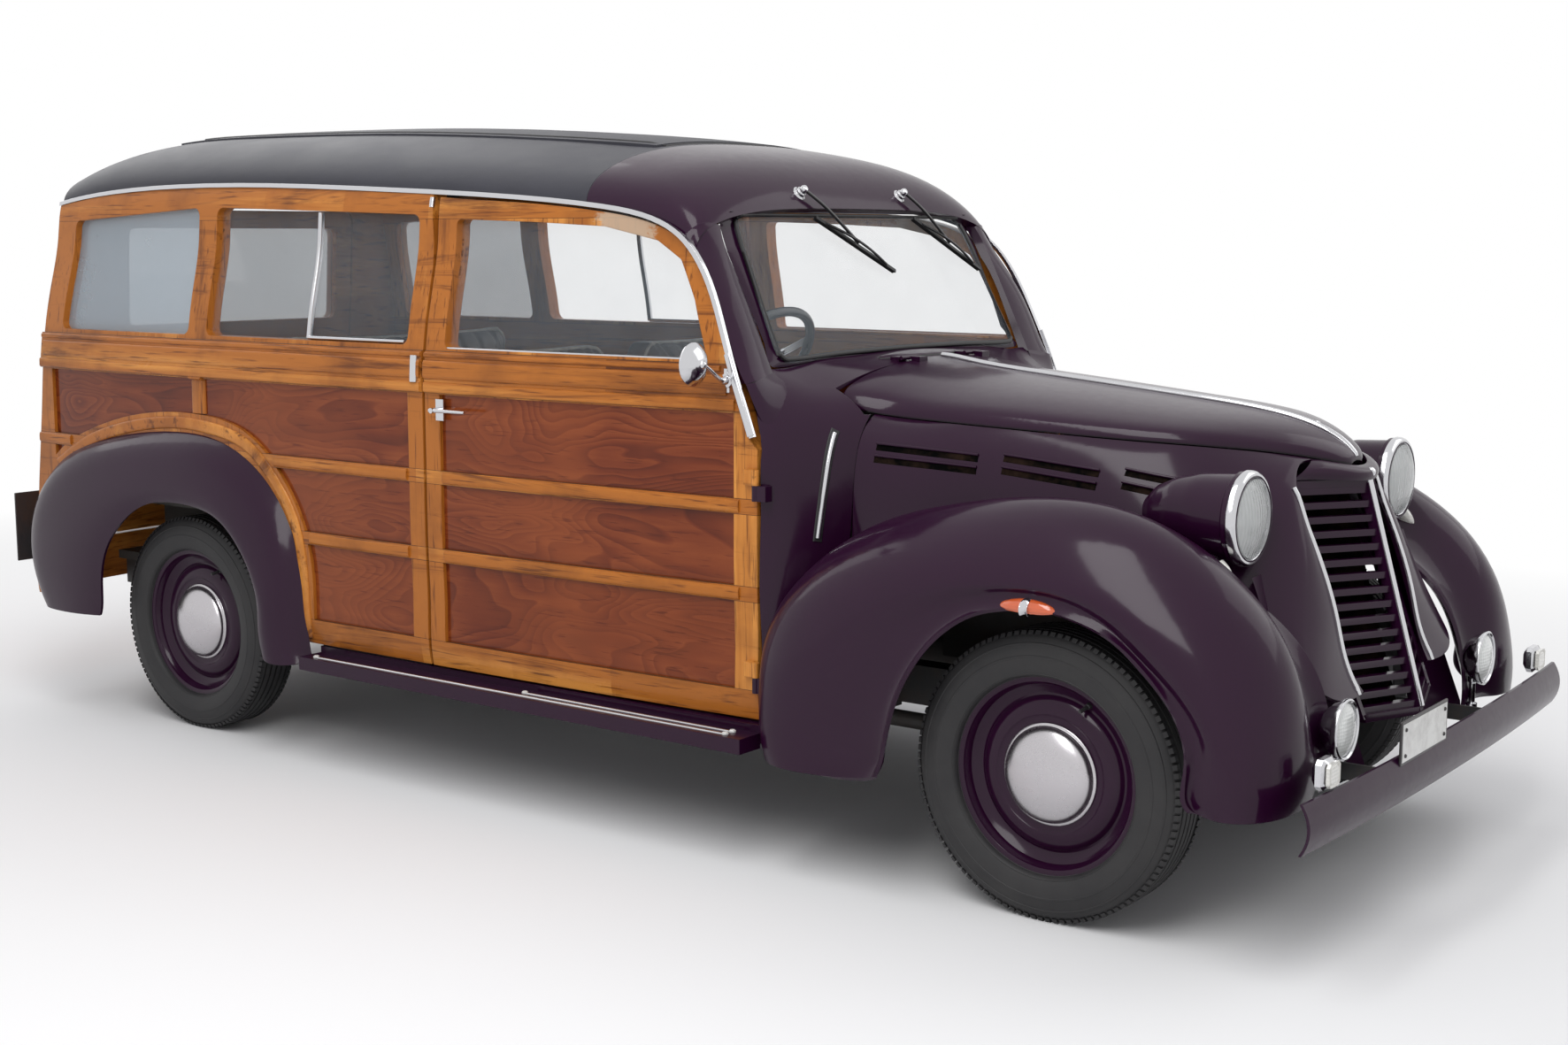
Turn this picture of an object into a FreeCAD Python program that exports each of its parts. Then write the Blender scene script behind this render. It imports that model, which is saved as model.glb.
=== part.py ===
# A two-door estate car of the 1940s: steel front, framed wooden body, cloth-covered roof.
# X points to the front, Y to the car's left, Z up. The ground is at zero height.
import FreeCAD, Part
import math
import os
import re

import Sketcher

DIMENSIONS = (
    ("wheelbase", 2700, "rear axle to front axle"),
    ("front_reach", 615, "front axle to the bumper's front face"),
    ("rear_reach", 800, "rear axle to the rear end"),
    ("roof_height", 1665, "ground to the top of the roof"),
    ("half_width", 700, "centre line to the outside of the body at its widest"),
    ("wall", 45, "thickness of the wooden walls and doors"),
    ("panel_thickness", 9, "plywood panels in the wooden frame"),
    ("panel_inset", 10, "step from the frame's face to the panel's face"),
    ("steel", 8, "steel fenders, hood and cowl with their returned edges"),
    ("roof_thickness", 24, "roof cloth with its bows and lining"),
    ("glass_thickness", 6, "window panes"),
    ("glass_inset", 20, "step from the frame's face to the glass"),
    ("door_gap", 6, "gap round the doors and the hood"),
    ("seat_gap", 0.3, "gap between faces that rest on each other"),
    ("bearing_gap", 0.05, "radial clearance of pins and axles in their holes"),
    ("overrun", 20, "how far a cutting tool passes the face that it cuts"),
    ("post_width", 62, "upright wooden posts"),
    ("rib_height", 34, "wooden ribs across the panels"),
    ("belt_step", 6, "how far the belt rail stands out of the frame"),
    ("gutter_height", 11, "chrome gutter above the doors, height"),
    ("gutter_stand", 2.5, "chrome gutter off the body's face"),
    ("gutter_depth", 11, "chrome gutter above the doors, depth"),
    ("rear_bow", 60, "how far the rear face is bowed in plan"),
    ("roof_welt", 5, "how far the centre panel of the roof stands up"),
    ("tyre_radius", 298, "outside of the tyre"),
    ("tyre_width", 138, "widest section of the tyre"),
    ("tread_width", 104, "flat of the tyre on the road"),
    ("rim_radius", 191, "bead seat of the rim"),
    ("rim_lip", 13, "height of the rim's flange above the bead seat"),
    ("rim_width", 108, "rim between the outsides of its flanges"),
    ("rim_thickness", 7, "rim and disc"),
    ("wheel_track_half", 612, "centre line to the middle of the tyre"),
    ("cap_radius", 104, "hub cap"),
    ("cap_height", 42, "hub cap above the disc"),
    ("disc_offset", 22, "middle of the tyre to the outer face of the disc"),
    ("hub_radius", 45, "hub behind the disc"),
    ("hub_depth", 40, "length of the hub"),
    ("stub_radius", 16, "stub axle"),
    ("stub_reach", 34, "length of the stub axle inside the hub"),
    ("king_pin_half", 500, "centre line to the king pin"),
    ("king_pin_radius", 12, "king pin"),
    ("king_boss_radius", 26, "boss round the king pin"),
    ("king_boss_height", 110, "boss round the king pin"),
    ("knuckle_plate", 16, "plates of the knuckle"),
    ("knuckle_width", 54, "plates of the knuckle, fore and aft"),
    ("rail_width", 60, "side rails of the chassis"),
    ("rail_height", 90, "side rails of the chassis"),
    ("rail_half_front", 315, "centre line to the rail's middle at the front"),
    ("rail_length_front", 1150, "front stretch of the rails"),
    ("rail_half_rear", 400, "centre line to the rail's middle at the rear"),
    ("floor_level", 430, "top of the floor"),
    ("floor_thickness", 25, "floor boards"),
    ("floor_half", 500, "half width of the floor"),
    ("axle_tube_radius", 34, "rear axle tube"),
    ("differential_radius", 98, "bulb in the middle of the rear axle"),
    ("spring_width", 45, "leaf springs"),
    ("spring_half_length", 520, "leaf springs, axle to eye"),
    ("spring_thickness", 32, "pack of leaves at the axle"),
    ("shaft_radius", 28, "propeller shaft"),
    ("engine_length", 560, "engine block"),
    ("engine_width", 400, "engine block"),
    ("engine_height", 440, "engine block"),
    ("engine_bottom", 400, "underside of the engine block"),
    ("gearbox_length", 240, "gearbox behind the engine"),
    ("gearbox_radius", 70, "gearbox behind the engine"),
    ("pipe_radius", 20, "exhaust pipe"),
    ("muffler_radius", 50, "exhaust muffler"),
    ("muffler_length", 520, "exhaust muffler"),
    ("pipe_level", 225, "exhaust pipe above the ground"),
    ("pipe_offset", 170, "exhaust pipe from the centre line"),
    ("tank_length", 330, "fuel tank"),
    ("tank_width", 560, "fuel tank"),
    ("tank_height", 110, "fuel tank"),
    ("seat_width", 480, "one front seat"),
    ("seat_length", 470, "front seat cushion, fore and aft"),
    ("cushion_height", 150, "seat cushions"),
    ("cushion_level", 490, "underside of the seat cushions"),
    ("seat_spacing", 300, "centre line to the middle of a front seat"),
    ("backrest_thickness", 120, "seat backs"),
    ("backrest_height", 470, "seat backs above the cushion"),
    ("dash_depth", 70, "dashboard"),
    ("dash_height", 150, "dashboard"),
    ("dash_half", 580, "dashboard"),
    ("steering_rim_radius", 205, "steering wheel"),
    ("steering_rim_section", 11, "steering wheel rim"),
    ("column_radius", 18, "steering column"),
    ("column_angle", 40, "steering column above the horizontal, degrees"),
    ("lamp_radius", 93, "headlamp rim"),
    ("lamp_length", 230, "headlamp from tail to lens"),
    ("lamp_half", 409, "centre line to the headlamp"),
    ("lamp_level", 816, "headlamp above the ground"),
    ("fog_radius", 62, "fog lamp"),
    ("fog_depth", 48, "fog lamp"),
    ("fog_half", 417, "centre line to the fog lamp"),
    ("fog_level", 423, "fog lamp above the ground"),
    ("signal_width", 96, "signal lamp on the bumper"),
    ("signal_height", 58, "signal lamp on the bumper"),
    ("signal_depth", 36, "signal lamp on the bumper"),
    ("signal_half", 612, "centre line to the signal lamp"),
    ("bumper_half", 760, "centre line to the bumper's end"),
    ("bumper_height", 96, "bumper blade"),
    ("bumper_level", 314, "middle of the bumper above the ground"),
    ("bumper_thickness", 6, "bumper blade"),
    ("bumper_crown", 16, "how far the blade bulges"),
    ("bumper_sweep", 20, "how far the bumper's ends sweep back"),
    ("iron_width", 34, "bumper irons, fog lamp brackets"),
    ("iron_thickness", 8, "bumper irons"),
    ("slat_height", 14, "grille slats"),
    ("slat_depth", 22, "grille slats"),
    ("slat_count", 16, "grille slats"),
    ("grille_bar", 16, "chrome edges of the grille"),
    ("plate_width", 262, "front number plate"),
    ("plate_height", 72, "front number plate"),
    ("plate_thickness", 3, "number plates"),
    ("plate_hole_radius", 3, "number plate holes"),
    ("rear_plate_width", 150, "rear number plate"),
    ("rear_plate_height", 205, "rear number plate"),
    ("tail_radius", 32, "tail lamps"),
    ("tail_depth", 34, "tail lamps"),
    ("handle_length", 118, "door handles"),
    ("handle_section", 13, "door handles"),
    ("handle_reach", 34, "door handles stand off the door"),
    ("mirror_radius", 47, "mirror head"),
    ("mirror_depth", 26, "mirror head"),
    ("mirror_reach", 105, "mirror head from the door's face"),
    ("mirror_arm_radius", 5, "mirror arm"),
    ("strip_width", 14, "chrome strip on the hood"),
    ("strip_height", 9, "chrome strip on the hood"),
    ("board_width", 74, "running boards"),
    ("board_height", 34, "running boards"),
    ("board_level", 270, "middle of the running boards above the ground"),
    ("sill_height", 40, "sill under the doors"),
    ("hinge_radius", 8, "hinge barrels"),
    ("hinge_length", 34, "one half of a hinge barrel"),
    ("hinge_leaf", 30, "hinge leaves, from the barrel's middle"),
    ("hinge_stand", 10, "barrel's middle outside the body's face"),
    ("jack_radius", 14, "jacking sockets"),
    ("jack_length", 60, "jacking sockets"),
)

document = FreeCAD.newDocument("estate_car")
sheet = document.addObject("Spreadsheet::Sheet", "Sizes")
for line, (alias, value, meaning) in enumerate(DIMENSIONS, start=1):
    sheet.set("A%d" % line, alias)
    sheet.set("B%d" % line, str(value))
    sheet.set("C%d" % line, meaning)
    sheet.setAlias("B%d" % line, alias)
document.recompute()

size = {alias: float(sheet.get(alias)) for alias, value, meaning in DIMENSIONS}
Vector = FreeCAD.Vector

RAIL_LEVEL = "(floor_level - floor_thickness - seat_gap - rail_height / 2)"
REAR_AXLE = "((rear_reach - front_reach - wheelbase) / 2)"
FRONT_AXLE = "((rear_reach - front_reach + wheelbase) / 2)"
rear_axle_x = (size["rear_reach"] - size["front_reach"] - size["wheelbase"]) / 2
front_axle_x = rear_axle_x + size["wheelbase"]

nodes = []
made = {}


# Places along the car are shares of the wheelbase from the rear axle, places across it are
# shares of half_width, and heights are shares of roof_height.
def along(share):
    return rear_axle_x + share * size["wheelbase"]


def across(share):
    return share * size["half_width"]


def height(share):
    return share * size["roof_height"]


def place(station_share, side_share, height_share):
    return Vector(along(station_share), across(side_share), height(height_share))


def smooth(table, at):
    """Value of a smooth curve through a table of (place, value) rows."""
    last = len(table) - 1
    if at <= table[0][0]:
        return table[0][1]
    if at >= table[last][0]:
        return table[last][1]
    left = max(index for index in range(last) if table[index][0] <= at)
    slopes = []
    for index in (left, left + 1):
        before, after = max(index - 1, 0), min(index + 1, last)
        slopes.append((table[after][1] - table[before][1]) / (table[after][0] - table[before][0]))
    span = table[left + 1][0] - table[left][0]
    step = (at - table[left][0]) / span
    return (
        table[left][1] * (2 * step**3 - 3 * step**2 + 1)
        + table[left + 1][1] * (3 * step**2 - 2 * step**3)
        + span * slopes[0] * (step**3 - 2 * step**2 + step)
        + span * slopes[1] * (step**3 - step**2)
    )


def spread(first, last, count):
    return [first + (last - first) * index / (count - 1) for index in range(count)]


# Expressions: a text names sizes by their alias, and every word gets the sheet's name.
def rule(text):
    return re.sub(r"[a-z][a-z_]*[a-z](?!\()", r"Sizes.\g<0>", text)


def bind(item, sizes, corner):
    for key, text in sizes.items():
        item.setExpression(key, rule(text))
    for axis, text in zip("xyz", corner):
        item.setExpression(".Placement.Base." + axis, rule(text))
    return item


def block(name, middle, spans):
    item = document.addObject("Part::Box", name)
    corner = ["(%s) - (%s) / 2" % pair for pair in zip(middle, spans)]
    return bind(item, dict(zip(("Length", "Width", "Height"), spans)), corner)


def rod(name, direction, start, length, radius):
    item = document.addObject("Part::Cylinder", name)
    item.Placement.Rotation = FreeCAD.Rotation(Vector(0, 0, 1), Vector(*direction))
    return bind(item, {"Radius": radius, "Height": length}, start)


def ball(name, middle, radius):
    return bind(document.addObject("Part::Sphere", name), {"Radius": radius}, middle)


def joined(name, items):
    item = document.addObject("Part::MultiFuse", name)
    item.Shapes = items
    return item


def grouped(name, items):
    item = document.addObject("Part::Compound", name)
    item.Links = items
    return item


def less(name, base, tool):
    item = document.addObject("Part::Cut", name)
    item.Base = base
    item.Tool = tool
    return item


def mirrored(item):
    twin = document.addObject("Part::Mirroring", item.Name + "_mirror")
    twin.Source = item
    twin.Normal = (0, 1, 0)
    return twin


def node(label, item):
    item.Label = label
    nodes.append(item)
    return item


def shaped(label, shape):
    item = document.addObject("Part::Feature", label)
    item.Shape = shape
    made[label] = shape
    return node(label, item)


def biggest(shape):
    return max(shape.Solids, key=lambda solid: solid.Volume)


def seated(shape, *neighbours):
    """The largest solid of a shape once the room of its neighbours is taken out of it."""
    return biggest(shape.cut([made[name] for name in neighbours]))


def lathe(label, outline, middle):
    """A body turned about its own Y axis: outline rows are (radius, place along Y)."""
    body = document.addObject("PartDesign::Body", label)
    sketch = body.newObject("Sketcher::SketchObject", label + "_outline")
    plane = [item for item in body.Origin.OriginFeatures if item.Role == "XY_Plane"][0]
    sketch.AttachmentSupport = [(plane, "")]
    sketch.MapMode = "FlatFace"
    values = [[evaluate(text) for text in row] for row in outline]
    count = len(outline)
    for index in range(count):
        start, end = values[index], values[(index + 1) % count]
        sketch.addGeometry(Part.LineSegment(Vector(*start, 0), Vector(*end, 0)), False)
    for index in range(count):
        follower = (index + 1) % count
        sketch.addConstraint(Sketcher.Constraint("Coincident", index, 2, follower, 1))
    for index in range(count):
        for kind, value, text in zip(("DistanceX", "DistanceY"), values[index], outline[index]):
            number = sketch.addConstraint(Sketcher.Constraint(kind, -1, 1, index, 1, value))
            sketch.setExpression("Constraints[%d]" % number, rule(text))
    turned = body.newObject("PartDesign::Revolution", label + "_turned")
    turned.Profile = sketch
    turned.ReferenceAxis = (sketch, ["V_Axis"])
    turned.Angle = 360
    sketch.Visibility = False
    bind(body, {}, middle)
    return body


def evaluate(text):
    """The value of an expression text, worked out by the sheet's own words."""
    words = re.sub(r"[a-z][a-z_]*[a-z]", lambda word: repr(size[word.group(0)]), text)
    return float(FreeCAD.Units.Quantity(words).Value)


# Curved shells: two smooth surfaces through rows of points, closed by ruled sides.
def surface(rows):
    face = Part.BSplineSurface()
    face.interpolate(rows)
    return face


def solid_between(outer_rows, inner_rows):
    outer, inner = surface(outer_rows), surface(inner_rows)
    faces = [outer.toShape(), inner.toShape()]
    u_first, u_last, v_first, v_last = outer.bounds()
    for outer_edge, inner_edge in (
        (outer.uIso(u_first), inner.uIso(u_first)),
        (outer.uIso(u_last), inner.uIso(u_last)),
        (outer.vIso(v_first), inner.vIso(v_first)),
        (outer.vIso(v_last), inner.vIso(v_last)),
    ):
        faces.append(Part.makeRuledSurface(outer_edge.toShape(), inner_edge.toShape()))
    shell = Part.makeShell(faces)
    shell.sewShape()
    solid = Part.makeSolid(shell)
    if solid.Volume < 0:
        solid.reverse()
    return solid


def deepened(rows, depth):
    """Rows moved along the surface's normal by depth, towards the car's inside."""
    face = surface(rows)
    middle_row = rows[len(rows) // 2]
    centre = middle_row[len(middle_row) // 2]
    normal_there = face.normal(*face.parameter(centre))
    inward = Vector(front_axle_x, 0, size["floor_level"]) - centre
    if abs(centre.x - front_axle_x) > size["wheelbase"] / 3:
        inward = Vector(centre.x, 0, size["floor_level"]) - centre
    sign = 1 if normal_there.dot(inward) > 0 else -1
    moved = []
    for row in rows:
        moved.append([spot + face.normal(*face.parameter(spot)) * sign * depth for spot in row])
    return moved


def thick(rows, depth):
    return solid_between(rows, deepened(rows, depth))


def twin(shape):
    return shape.mirror(Vector(0, 0, 0), Vector(0, 1, 0))


def rounded_wire(corners, radius):
    """Closed wire through corner points with arcs of one radius at the corners."""
    count = len(corners)
    starts, ends, middles = [], [], []
    for index in range(count):
        corner = corners[index]
        back = (corners[index - 1] - corner)
        ahead = (corners[(index + 1) % count] - corner)
        half_turn = back.getAngle(ahead) / 2
        reach = min(radius / math.tan(half_turn), back.Length * 0.45, ahead.Length * 0.45)
        back.normalize()
        ahead.normalize()
        real_radius = reach * math.tan(half_turn)
        bisector = (back + ahead).normalize()
        centre = corner + bisector * (real_radius / math.sin(half_turn))
        starts.append(corner + back * reach)
        ends.append(corner + ahead * reach)
        middles.append(centre - bisector * real_radius)
    edges = []
    for index in range(count):
        edges.append(Part.Arc(starts[index], middles[index], ends[index]).toShape())
        edges.append(Part.makeLine(ends[index], starts[(index + 1) % count]))
    return Part.Wire(edges)


def side_prism(corners, radius, near, far):
    """Prism through the car's side: corners are (station, height) shares."""
    points = [Vector(along(station), near, height(level)) for station, level in corners]
    return Part.Face(rounded_wire(points, radius)).extrude(Vector(0, far - near, 0))


def line_prism(points, closing, near, far):
    """Prism whose outline is a smooth line through points, closed by straight stretches."""
    points = [Vector(spot.x, near, spot.z) for spot in points]
    line = Part.BSplineCurve()
    line.interpolate(points)
    rest = [points[-1]] + [Vector(along(a), near, height(b)) for a, b in closing] + [points[0]]
    edges = [line.toShape()] + [Part.makeLine(*pair) for pair in zip(rest, rest[1:])]
    return Part.Face(Part.Wire(edges)).extrude(Vector(0, far - near, 0))


def spline_prism(curve, closing, near, far):
    points = [Vector(along(station), near, height(level)) for station, level in curve]
    return line_prism(points, closing, near, far)


# The body's main lines.
SIDE_WIDTH_SHARES = (
    (0.170, 0.983), (0.300, 0.998), (0.480, 1.000), (0.600, 0.997), (0.650, 0.990),
    (0.720, 0.963), (0.800, 0.925), (0.860, 0.895), (0.900, 0.872),
)
SIDE_TAPER_SHARES = (
    (-0.270, 0.985), (-0.100, 1.000), (0.360, 1.000), (0.550, 0.988), (0.735, 0.958), (0.800, 0.940),
)
GUTTER_SHARES = (
    (-0.222, 0.876), (-0.142, 0.892), (-0.022, 0.901), (0.117, 0.900), (0.244, 0.893),
    (0.355, 0.885), (0.473, 0.874), (0.555, 0.862), (0.614, 0.845), (0.652, 0.817),
    (0.680, 0.765), (0.702, 0.690), (0.717, 0.631), (0.727, 0.589), (0.733, 0.562),
)
ROOF_TOP_SHARES = (
    (-0.222, 0.958), (-0.190, 0.982), (-0.120, 0.997), (0.000, 1.000), (0.190, 0.996),
    (0.373, 0.981), (0.500, 0.963), (0.570, 0.950), (0.620, 0.928), (0.648, 0.895), (0.661, 0.860),
)
ROOF_FULLNESS_SHARES = ((-0.222, 2.4), (0.0, 2.1), (0.400, 2.1), (0.560, 2.6), (0.661, 3.6))
REAR_LINE_SHARES = (
    (0.180, -0.268), (0.217, -0.2655), (0.430, -0.247), (0.646, -0.230), (0.877, -0.220),
    (1.000, -0.205),
)
DOOR_REAR_SHARE = 0.3648
DOOR_FRONT_SHARE = 0.7352
SILL_SHARE = 0.186
BELT_TOP_SHARE = 0.655
BELT_BOTTOM_SHARE = 0.594
WINDOW_SILL_SHARE = 0.659
HEADER_SHARE = 0.537
SCREEN_TOP_SHARE = 0.661


def side_y(station_share, height_share):
    width = smooth(SIDE_WIDTH_SHARES, height_share) * smooth(SIDE_TAPER_SHARES, station_share)
    return across(width)


def face_y(spot):
    """Half width of the body's face at a point's place and height."""
    return side_y((spot.x - rear_axle_x) / size["wheelbase"], spot.z / size["roof_height"])


def gutter_line(distance, first_share=-1):
    """Points of the gutter's line, moved down and back from it by a distance."""
    points = [place(station, 0, level) for station, level in GUTTER_SHARES]
    moved = []
    for index, spot in enumerate(points):
        before, after = points[max(index - 1, 0)], points[min(index + 1, len(points) - 1)]
        run = (after - before).normalize()
        if GUTTER_SHARES[index][0] > first_share:
            moved.append(spot + Vector(run.z, 0, -run.x) * distance)
    return moved


def side_rows(stations, levels, inset):
    rows = []
    for station in stations:
        rows.append([
            Vector(along(station), side_y(station, level) - inset, height(level)) for level in levels
        ])
    return rows


def side_wall(stations, levels, inset, depth):
    outer = side_rows(stations, levels, inset)
    inner = side_rows(stations, levels, inset + depth)
    return solid_between(outer, inner)


def roof_rows(stations, lift=0, reach_share=1.0, count=13):
    """Arched rows of the roof; reach_share narrows them about the centre line."""
    rows = []
    for station in stations:
        eave_share = smooth(GUTTER_SHARES, station)
        eave = height(eave_share)
        rise = height(smooth(ROOF_TOP_SHARES, station)) - eave
        half = side_y(station, eave_share)
        fullness = smooth(ROOF_FULLNESS_SHARES, station)
        tail = max(0, 1 - (station - GUTTER_SHARES[0][0]) / (DOOR_REAR_SHARE / 2))
        row = []
        for angle in spread(-math.pi / 2 * reach_share, math.pi / 2 * reach_share, count):
            across_share = math.sin(angle)
            level = eave + rise * (max(0, 1 - abs(across_share) ** fullness)) ** 0.5
            bow = size["rear_bow"] * tail**2 * (1 - across_share**2)
            row.append(Vector(along(station) - bow, half * across_share, level + lift))
        rows.append(row)
    return rows


# Roof, gutters and windscreen frame.
def roof_nodes():
    cloth_stations = spread(GUTTER_SHARES[0][0], HEADER_SHARE, 9)
    cloth = thick(roof_rows(cloth_stations), size["roof_thickness"])
    inset_stations = spread(-0.150, HEADER_SHARE - 0.012, 7)
    panel_outer = roof_rows(inset_stations, size["roof_welt"], 0.36)
    panel_inner = roof_rows(inset_stations, -size["roof_welt"], 0.36)
    shaped("roof_cloth", cloth.fuse(solid_between(panel_outer, panel_inner)))


GUTTER_STAND_SHARES = (
    (-0.222, 1.0), (0.580, 1.0), (0.614, 1.6), (0.652, 4.4), (0.680, 3.4), (0.702, 1.9), (0.733, 1.0),
)


def gutter_nodes():
    outer, inner = [], []
    half = size["gutter_height"] / 2
    depth = Vector(0, size["gutter_depth"], 0)
    for share, low, high in zip(GUTTER_SHARES, gutter_line(half), gutter_line(-half)):
        gap = Vector(0, size["gutter_stand"] * smooth(GUTTER_STAND_SHARES, share[0]), 0)
        pair = [spot + Vector(0, face_y(spot), 0) + gap for spot in (low, high)]
        inner.append(pair)
        outer.append([spot + depth for spot in pair])
    rail = solid_between(outer, inner)
    shaped("roof_gutters", Part.makeCompound([rail, twin(rail)]))


SCREEN_EDGE_SHARES = (
    (0.661, 0.775, 0.835), (0.668, 0.792, 0.812), (0.685, 0.794, 0.760), (0.706, 0.796, 0.690),
    (0.7205, 0.800, 0.640),
)
PILLAR_SPINE_SHARES = (
    (0.6555, 0.868, 0.835), (0.665, 0.868, 0.808), (0.689, 0.876, 0.753), (0.711, 0.890, 0.684),
    (0.726, 0.900, 0.634),
)
PILLAR_BACK_SHARES = (
    (0.6480, 0.905, 0.818), (0.6600, 0.918, 0.795), (0.6835, 0.930, 0.748), (0.7055, 0.943, 0.680),
    (0.7215, 0.947, 0.630),
)


def windscreen_nodes():
    header = thick(roof_rows(spread(HEADER_SHARE + 0.0004, SCREEN_TOP_SHARE, 6)), size["wall"] / 2)
    rows = [
        [place(*spot) for spot in line]
        for line in (SCREEN_EDGE_SHARES, PILLAR_SPINE_SHARES, PILLAR_BACK_SHARES)
    ]
    inner = [[spot - Vector(size["wall"] / 2, size["wall"] / 4, 0) for spot in row] for row in rows]
    pillar = solid_between(rows, inner)
    far = across(1.2)
    door_room = line_prism(gutter_line(size["door_gap"], 0.3), ((0.745, 0.5), (0.3, 0.5)), across(0.6), far)
    door_room = door_room.cut(side_prism(((0.1, 0.4), (0.1, 1.0), (HEADER_SHARE - 0.1, 1.0),
                                          (HEADER_SHARE - 0.1, 0.4)), size["seat_gap"], across(0.6), far))
    frame = header.fuse([pillar, twin(pillar)]).cut([door_room, twin(door_room), made["cowl"]])
    frame = biggest(frame)
    shaped("windscreen_frame", frame)
    corners = [(-side, level) for side, level in PANE_SHARES] + list(reversed(PANE_SHARES))
    corners = [screen_spot(*corner) for corner in corners + [(0, PANE_MIDDLE_SHARE)]]
    normal = (corners[2] - corners[1]).cross(Vector(0, -1, 0)).normalize()
    pane = Part.Face(rounded_wire(corners, size["wall"])).extrude(normal * size["glass_thickness"])
    pane.translate(normal * -size["wall"] / 4)
    return pane


PANE_SHARES = ((0.370, 0.6585), (0.738, 0.652), (0.690, 0.8488))
PANE_MIDDLE_SHARE = 0.661


def screen_spot(side_share, level_share):
    """Point of the windscreen's sloping plane."""
    station = 0.7205 - (level_share - 0.645) * 0.309
    return place(station, side_share, level_share)


# Wooden sides.
ARCH_HOLE_SHARES = (
    (-0.240, 0.165), (-0.236, 0.258), (-0.228, 0.345), (-0.194, 0.408), (-0.115, 0.460),
    (-0.010, 0.483), (0.070, 0.474), (0.125, 0.428), (0.160, 0.352), (0.176, 0.258), (0.183, 0.165),
)
ARCH_TRIM_SHARES = (
    (-0.290, 0.300), (-0.257, 0.363), (-0.217, 0.438), (-0.150, 0.491), (-0.056, 0.527),
    (0.031, 0.534), (0.113, 0.509), (0.164, 0.444), (0.194, 0.364), (0.203, 0.225), (0.204, 0.165),
)
SIDE_WINDOW_SHARES = (
    ((-0.196, 0.662), (-0.189, 0.846), (0.022, 0.866), (0.022, 0.662)),
    ((0.050, 0.662), (0.050, 0.866), (0.340, 0.852), (0.340, 0.662)),
)
RIB_LEVEL_SHARES = (0.470, 0.354)
PANEL_TOP_SHARE = 0.592
PANEL_BOTTOM_SHARE = 0.225


def panel_fields(first, last):
    """Corners of the panel openings between the ribs, from station first to last."""
    half_rib = size["rib_height"] / 2 / size["roof_height"]
    edges = [PANEL_TOP_SHARE]
    for level in RIB_LEVEL_SHARES:
        edges += [level + half_rib, level - half_rib]
    edges.append(PANEL_BOTTOM_SHARE)
    fields = []
    for top, bottom in zip(edges[0::2], edges[1::2]):
        fields.append(((first, bottom), (first, top), (last, top), (last, bottom)))
    return fields


def belt_rail(first, last):
    """Belt rail that stands out of the wall between two stations."""
    stations = spread(first, last, 5)
    levels = spread(BELT_BOTTOM_SHARE, BELT_TOP_SHARE, 3)
    return side_wall(stations, levels, -size["belt_step"], size["belt_step"] + size["wall"] / 3)


def rear_edge_prism(near, far):
    """Keeps what lies ahead of the rear edge line of the sides."""
    curve = [(station, level) for level, station in REAR_LINE_SHARES]
    return spline_prism(curve, ((0.9, 1.0), (0.9, 0.180)), near, far)


def body_side_nodes(windscreen):
    near, far = size["half_width"] / 2, size["half_width"] * 1.2
    stations = spread(-0.275, DOOR_REAR_SHARE - 0.0035, 9)
    levels = spread(SILL_SHARE, 0.905, 9)
    wall = side_wall(stations, levels, 0, size["wall"])
    top = [spot for spot in gutter_line(size["door_gap"]) if spot.x < along(0.4)]
    keep = line_prism(top, ((0.4, 0.15), (-0.3, 0.15), (-0.3, GUTTER_SHARES[0][1] - 0.006)), near, far)
    keep = keep.common(rear_edge_prism(near, far))
    arch_hole = spline_prism(ARCH_HOLE_SHARES, (), near, far)
    arch_trim = spline_prism(ARCH_TRIM_SHARES, ((-0.290, 0.165),), near, far)
    windows = [side_prism(corners, size["wall"] / 2, near, far) for corners in SIDE_WINDOW_SHARES]
    post_share = size["post_width"] / size["wheelbase"]
    fields = panel_fields(-0.300, DOOR_REAR_SHARE - post_share)
    openings = [side_prism(corners, size["seat_gap"], near, far) for corners in fields]
    corner_keep = side_prism(
        ((-0.300, 0.10), (-0.300, 0.70), (-0.215, 0.70), (-0.215, 0.10)), size["seat_gap"], near, far
    )
    openings = [opening.cut(corner_keep) for opening in openings]
    frame = wall.common(keep)
    for opening in openings:
        frame = frame.cut(opening.cut(arch_trim))
    belt = belt_rail(-0.275, DOOR_REAR_SHARE - 0.0035).common(rear_edge_prism(near, far))
    frame = frame.fuse(belt).cut(arch_hole)
    for window in windows:
        frame = frame.cut(window)
    board = side_wall(stations, levels, size["panel_inset"], size["panel_thickness"]).common(keep)
    panels = []
    for opening in openings:
        panels += board.common(opening).cut(arch_trim).Solids
    lining = side_wall(stations, levels, size["glass_inset"], size["glass_thickness"])
    panes = [lining.common(window) for window in windows]
    for name, turn in (("left", False), ("right", True)):
        solid = seated(frame, "roof_cloth")
        shaped("body_side_" + name, twin(solid) if turn else solid)
    shaped("side_panels", Part.makeCompound(panels + [twin(panel) for panel in panels]))
    shaped("fixed_windows", Part.makeCompound([windscreen] + panes + [twin(pane) for pane in panes]))


# Doors.
DOOR_WINDOW_SHARES = (
    (0.388, WINDOW_SILL_SHARE), (0.388, 0.845), (0.479, 0.8405), (0.562, 0.834), (0.620, 0.815),
    (0.646, 0.790), (0.665, 0.738), (0.679, 0.681), (0.684, WINDOW_SILL_SHARE),
)


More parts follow.
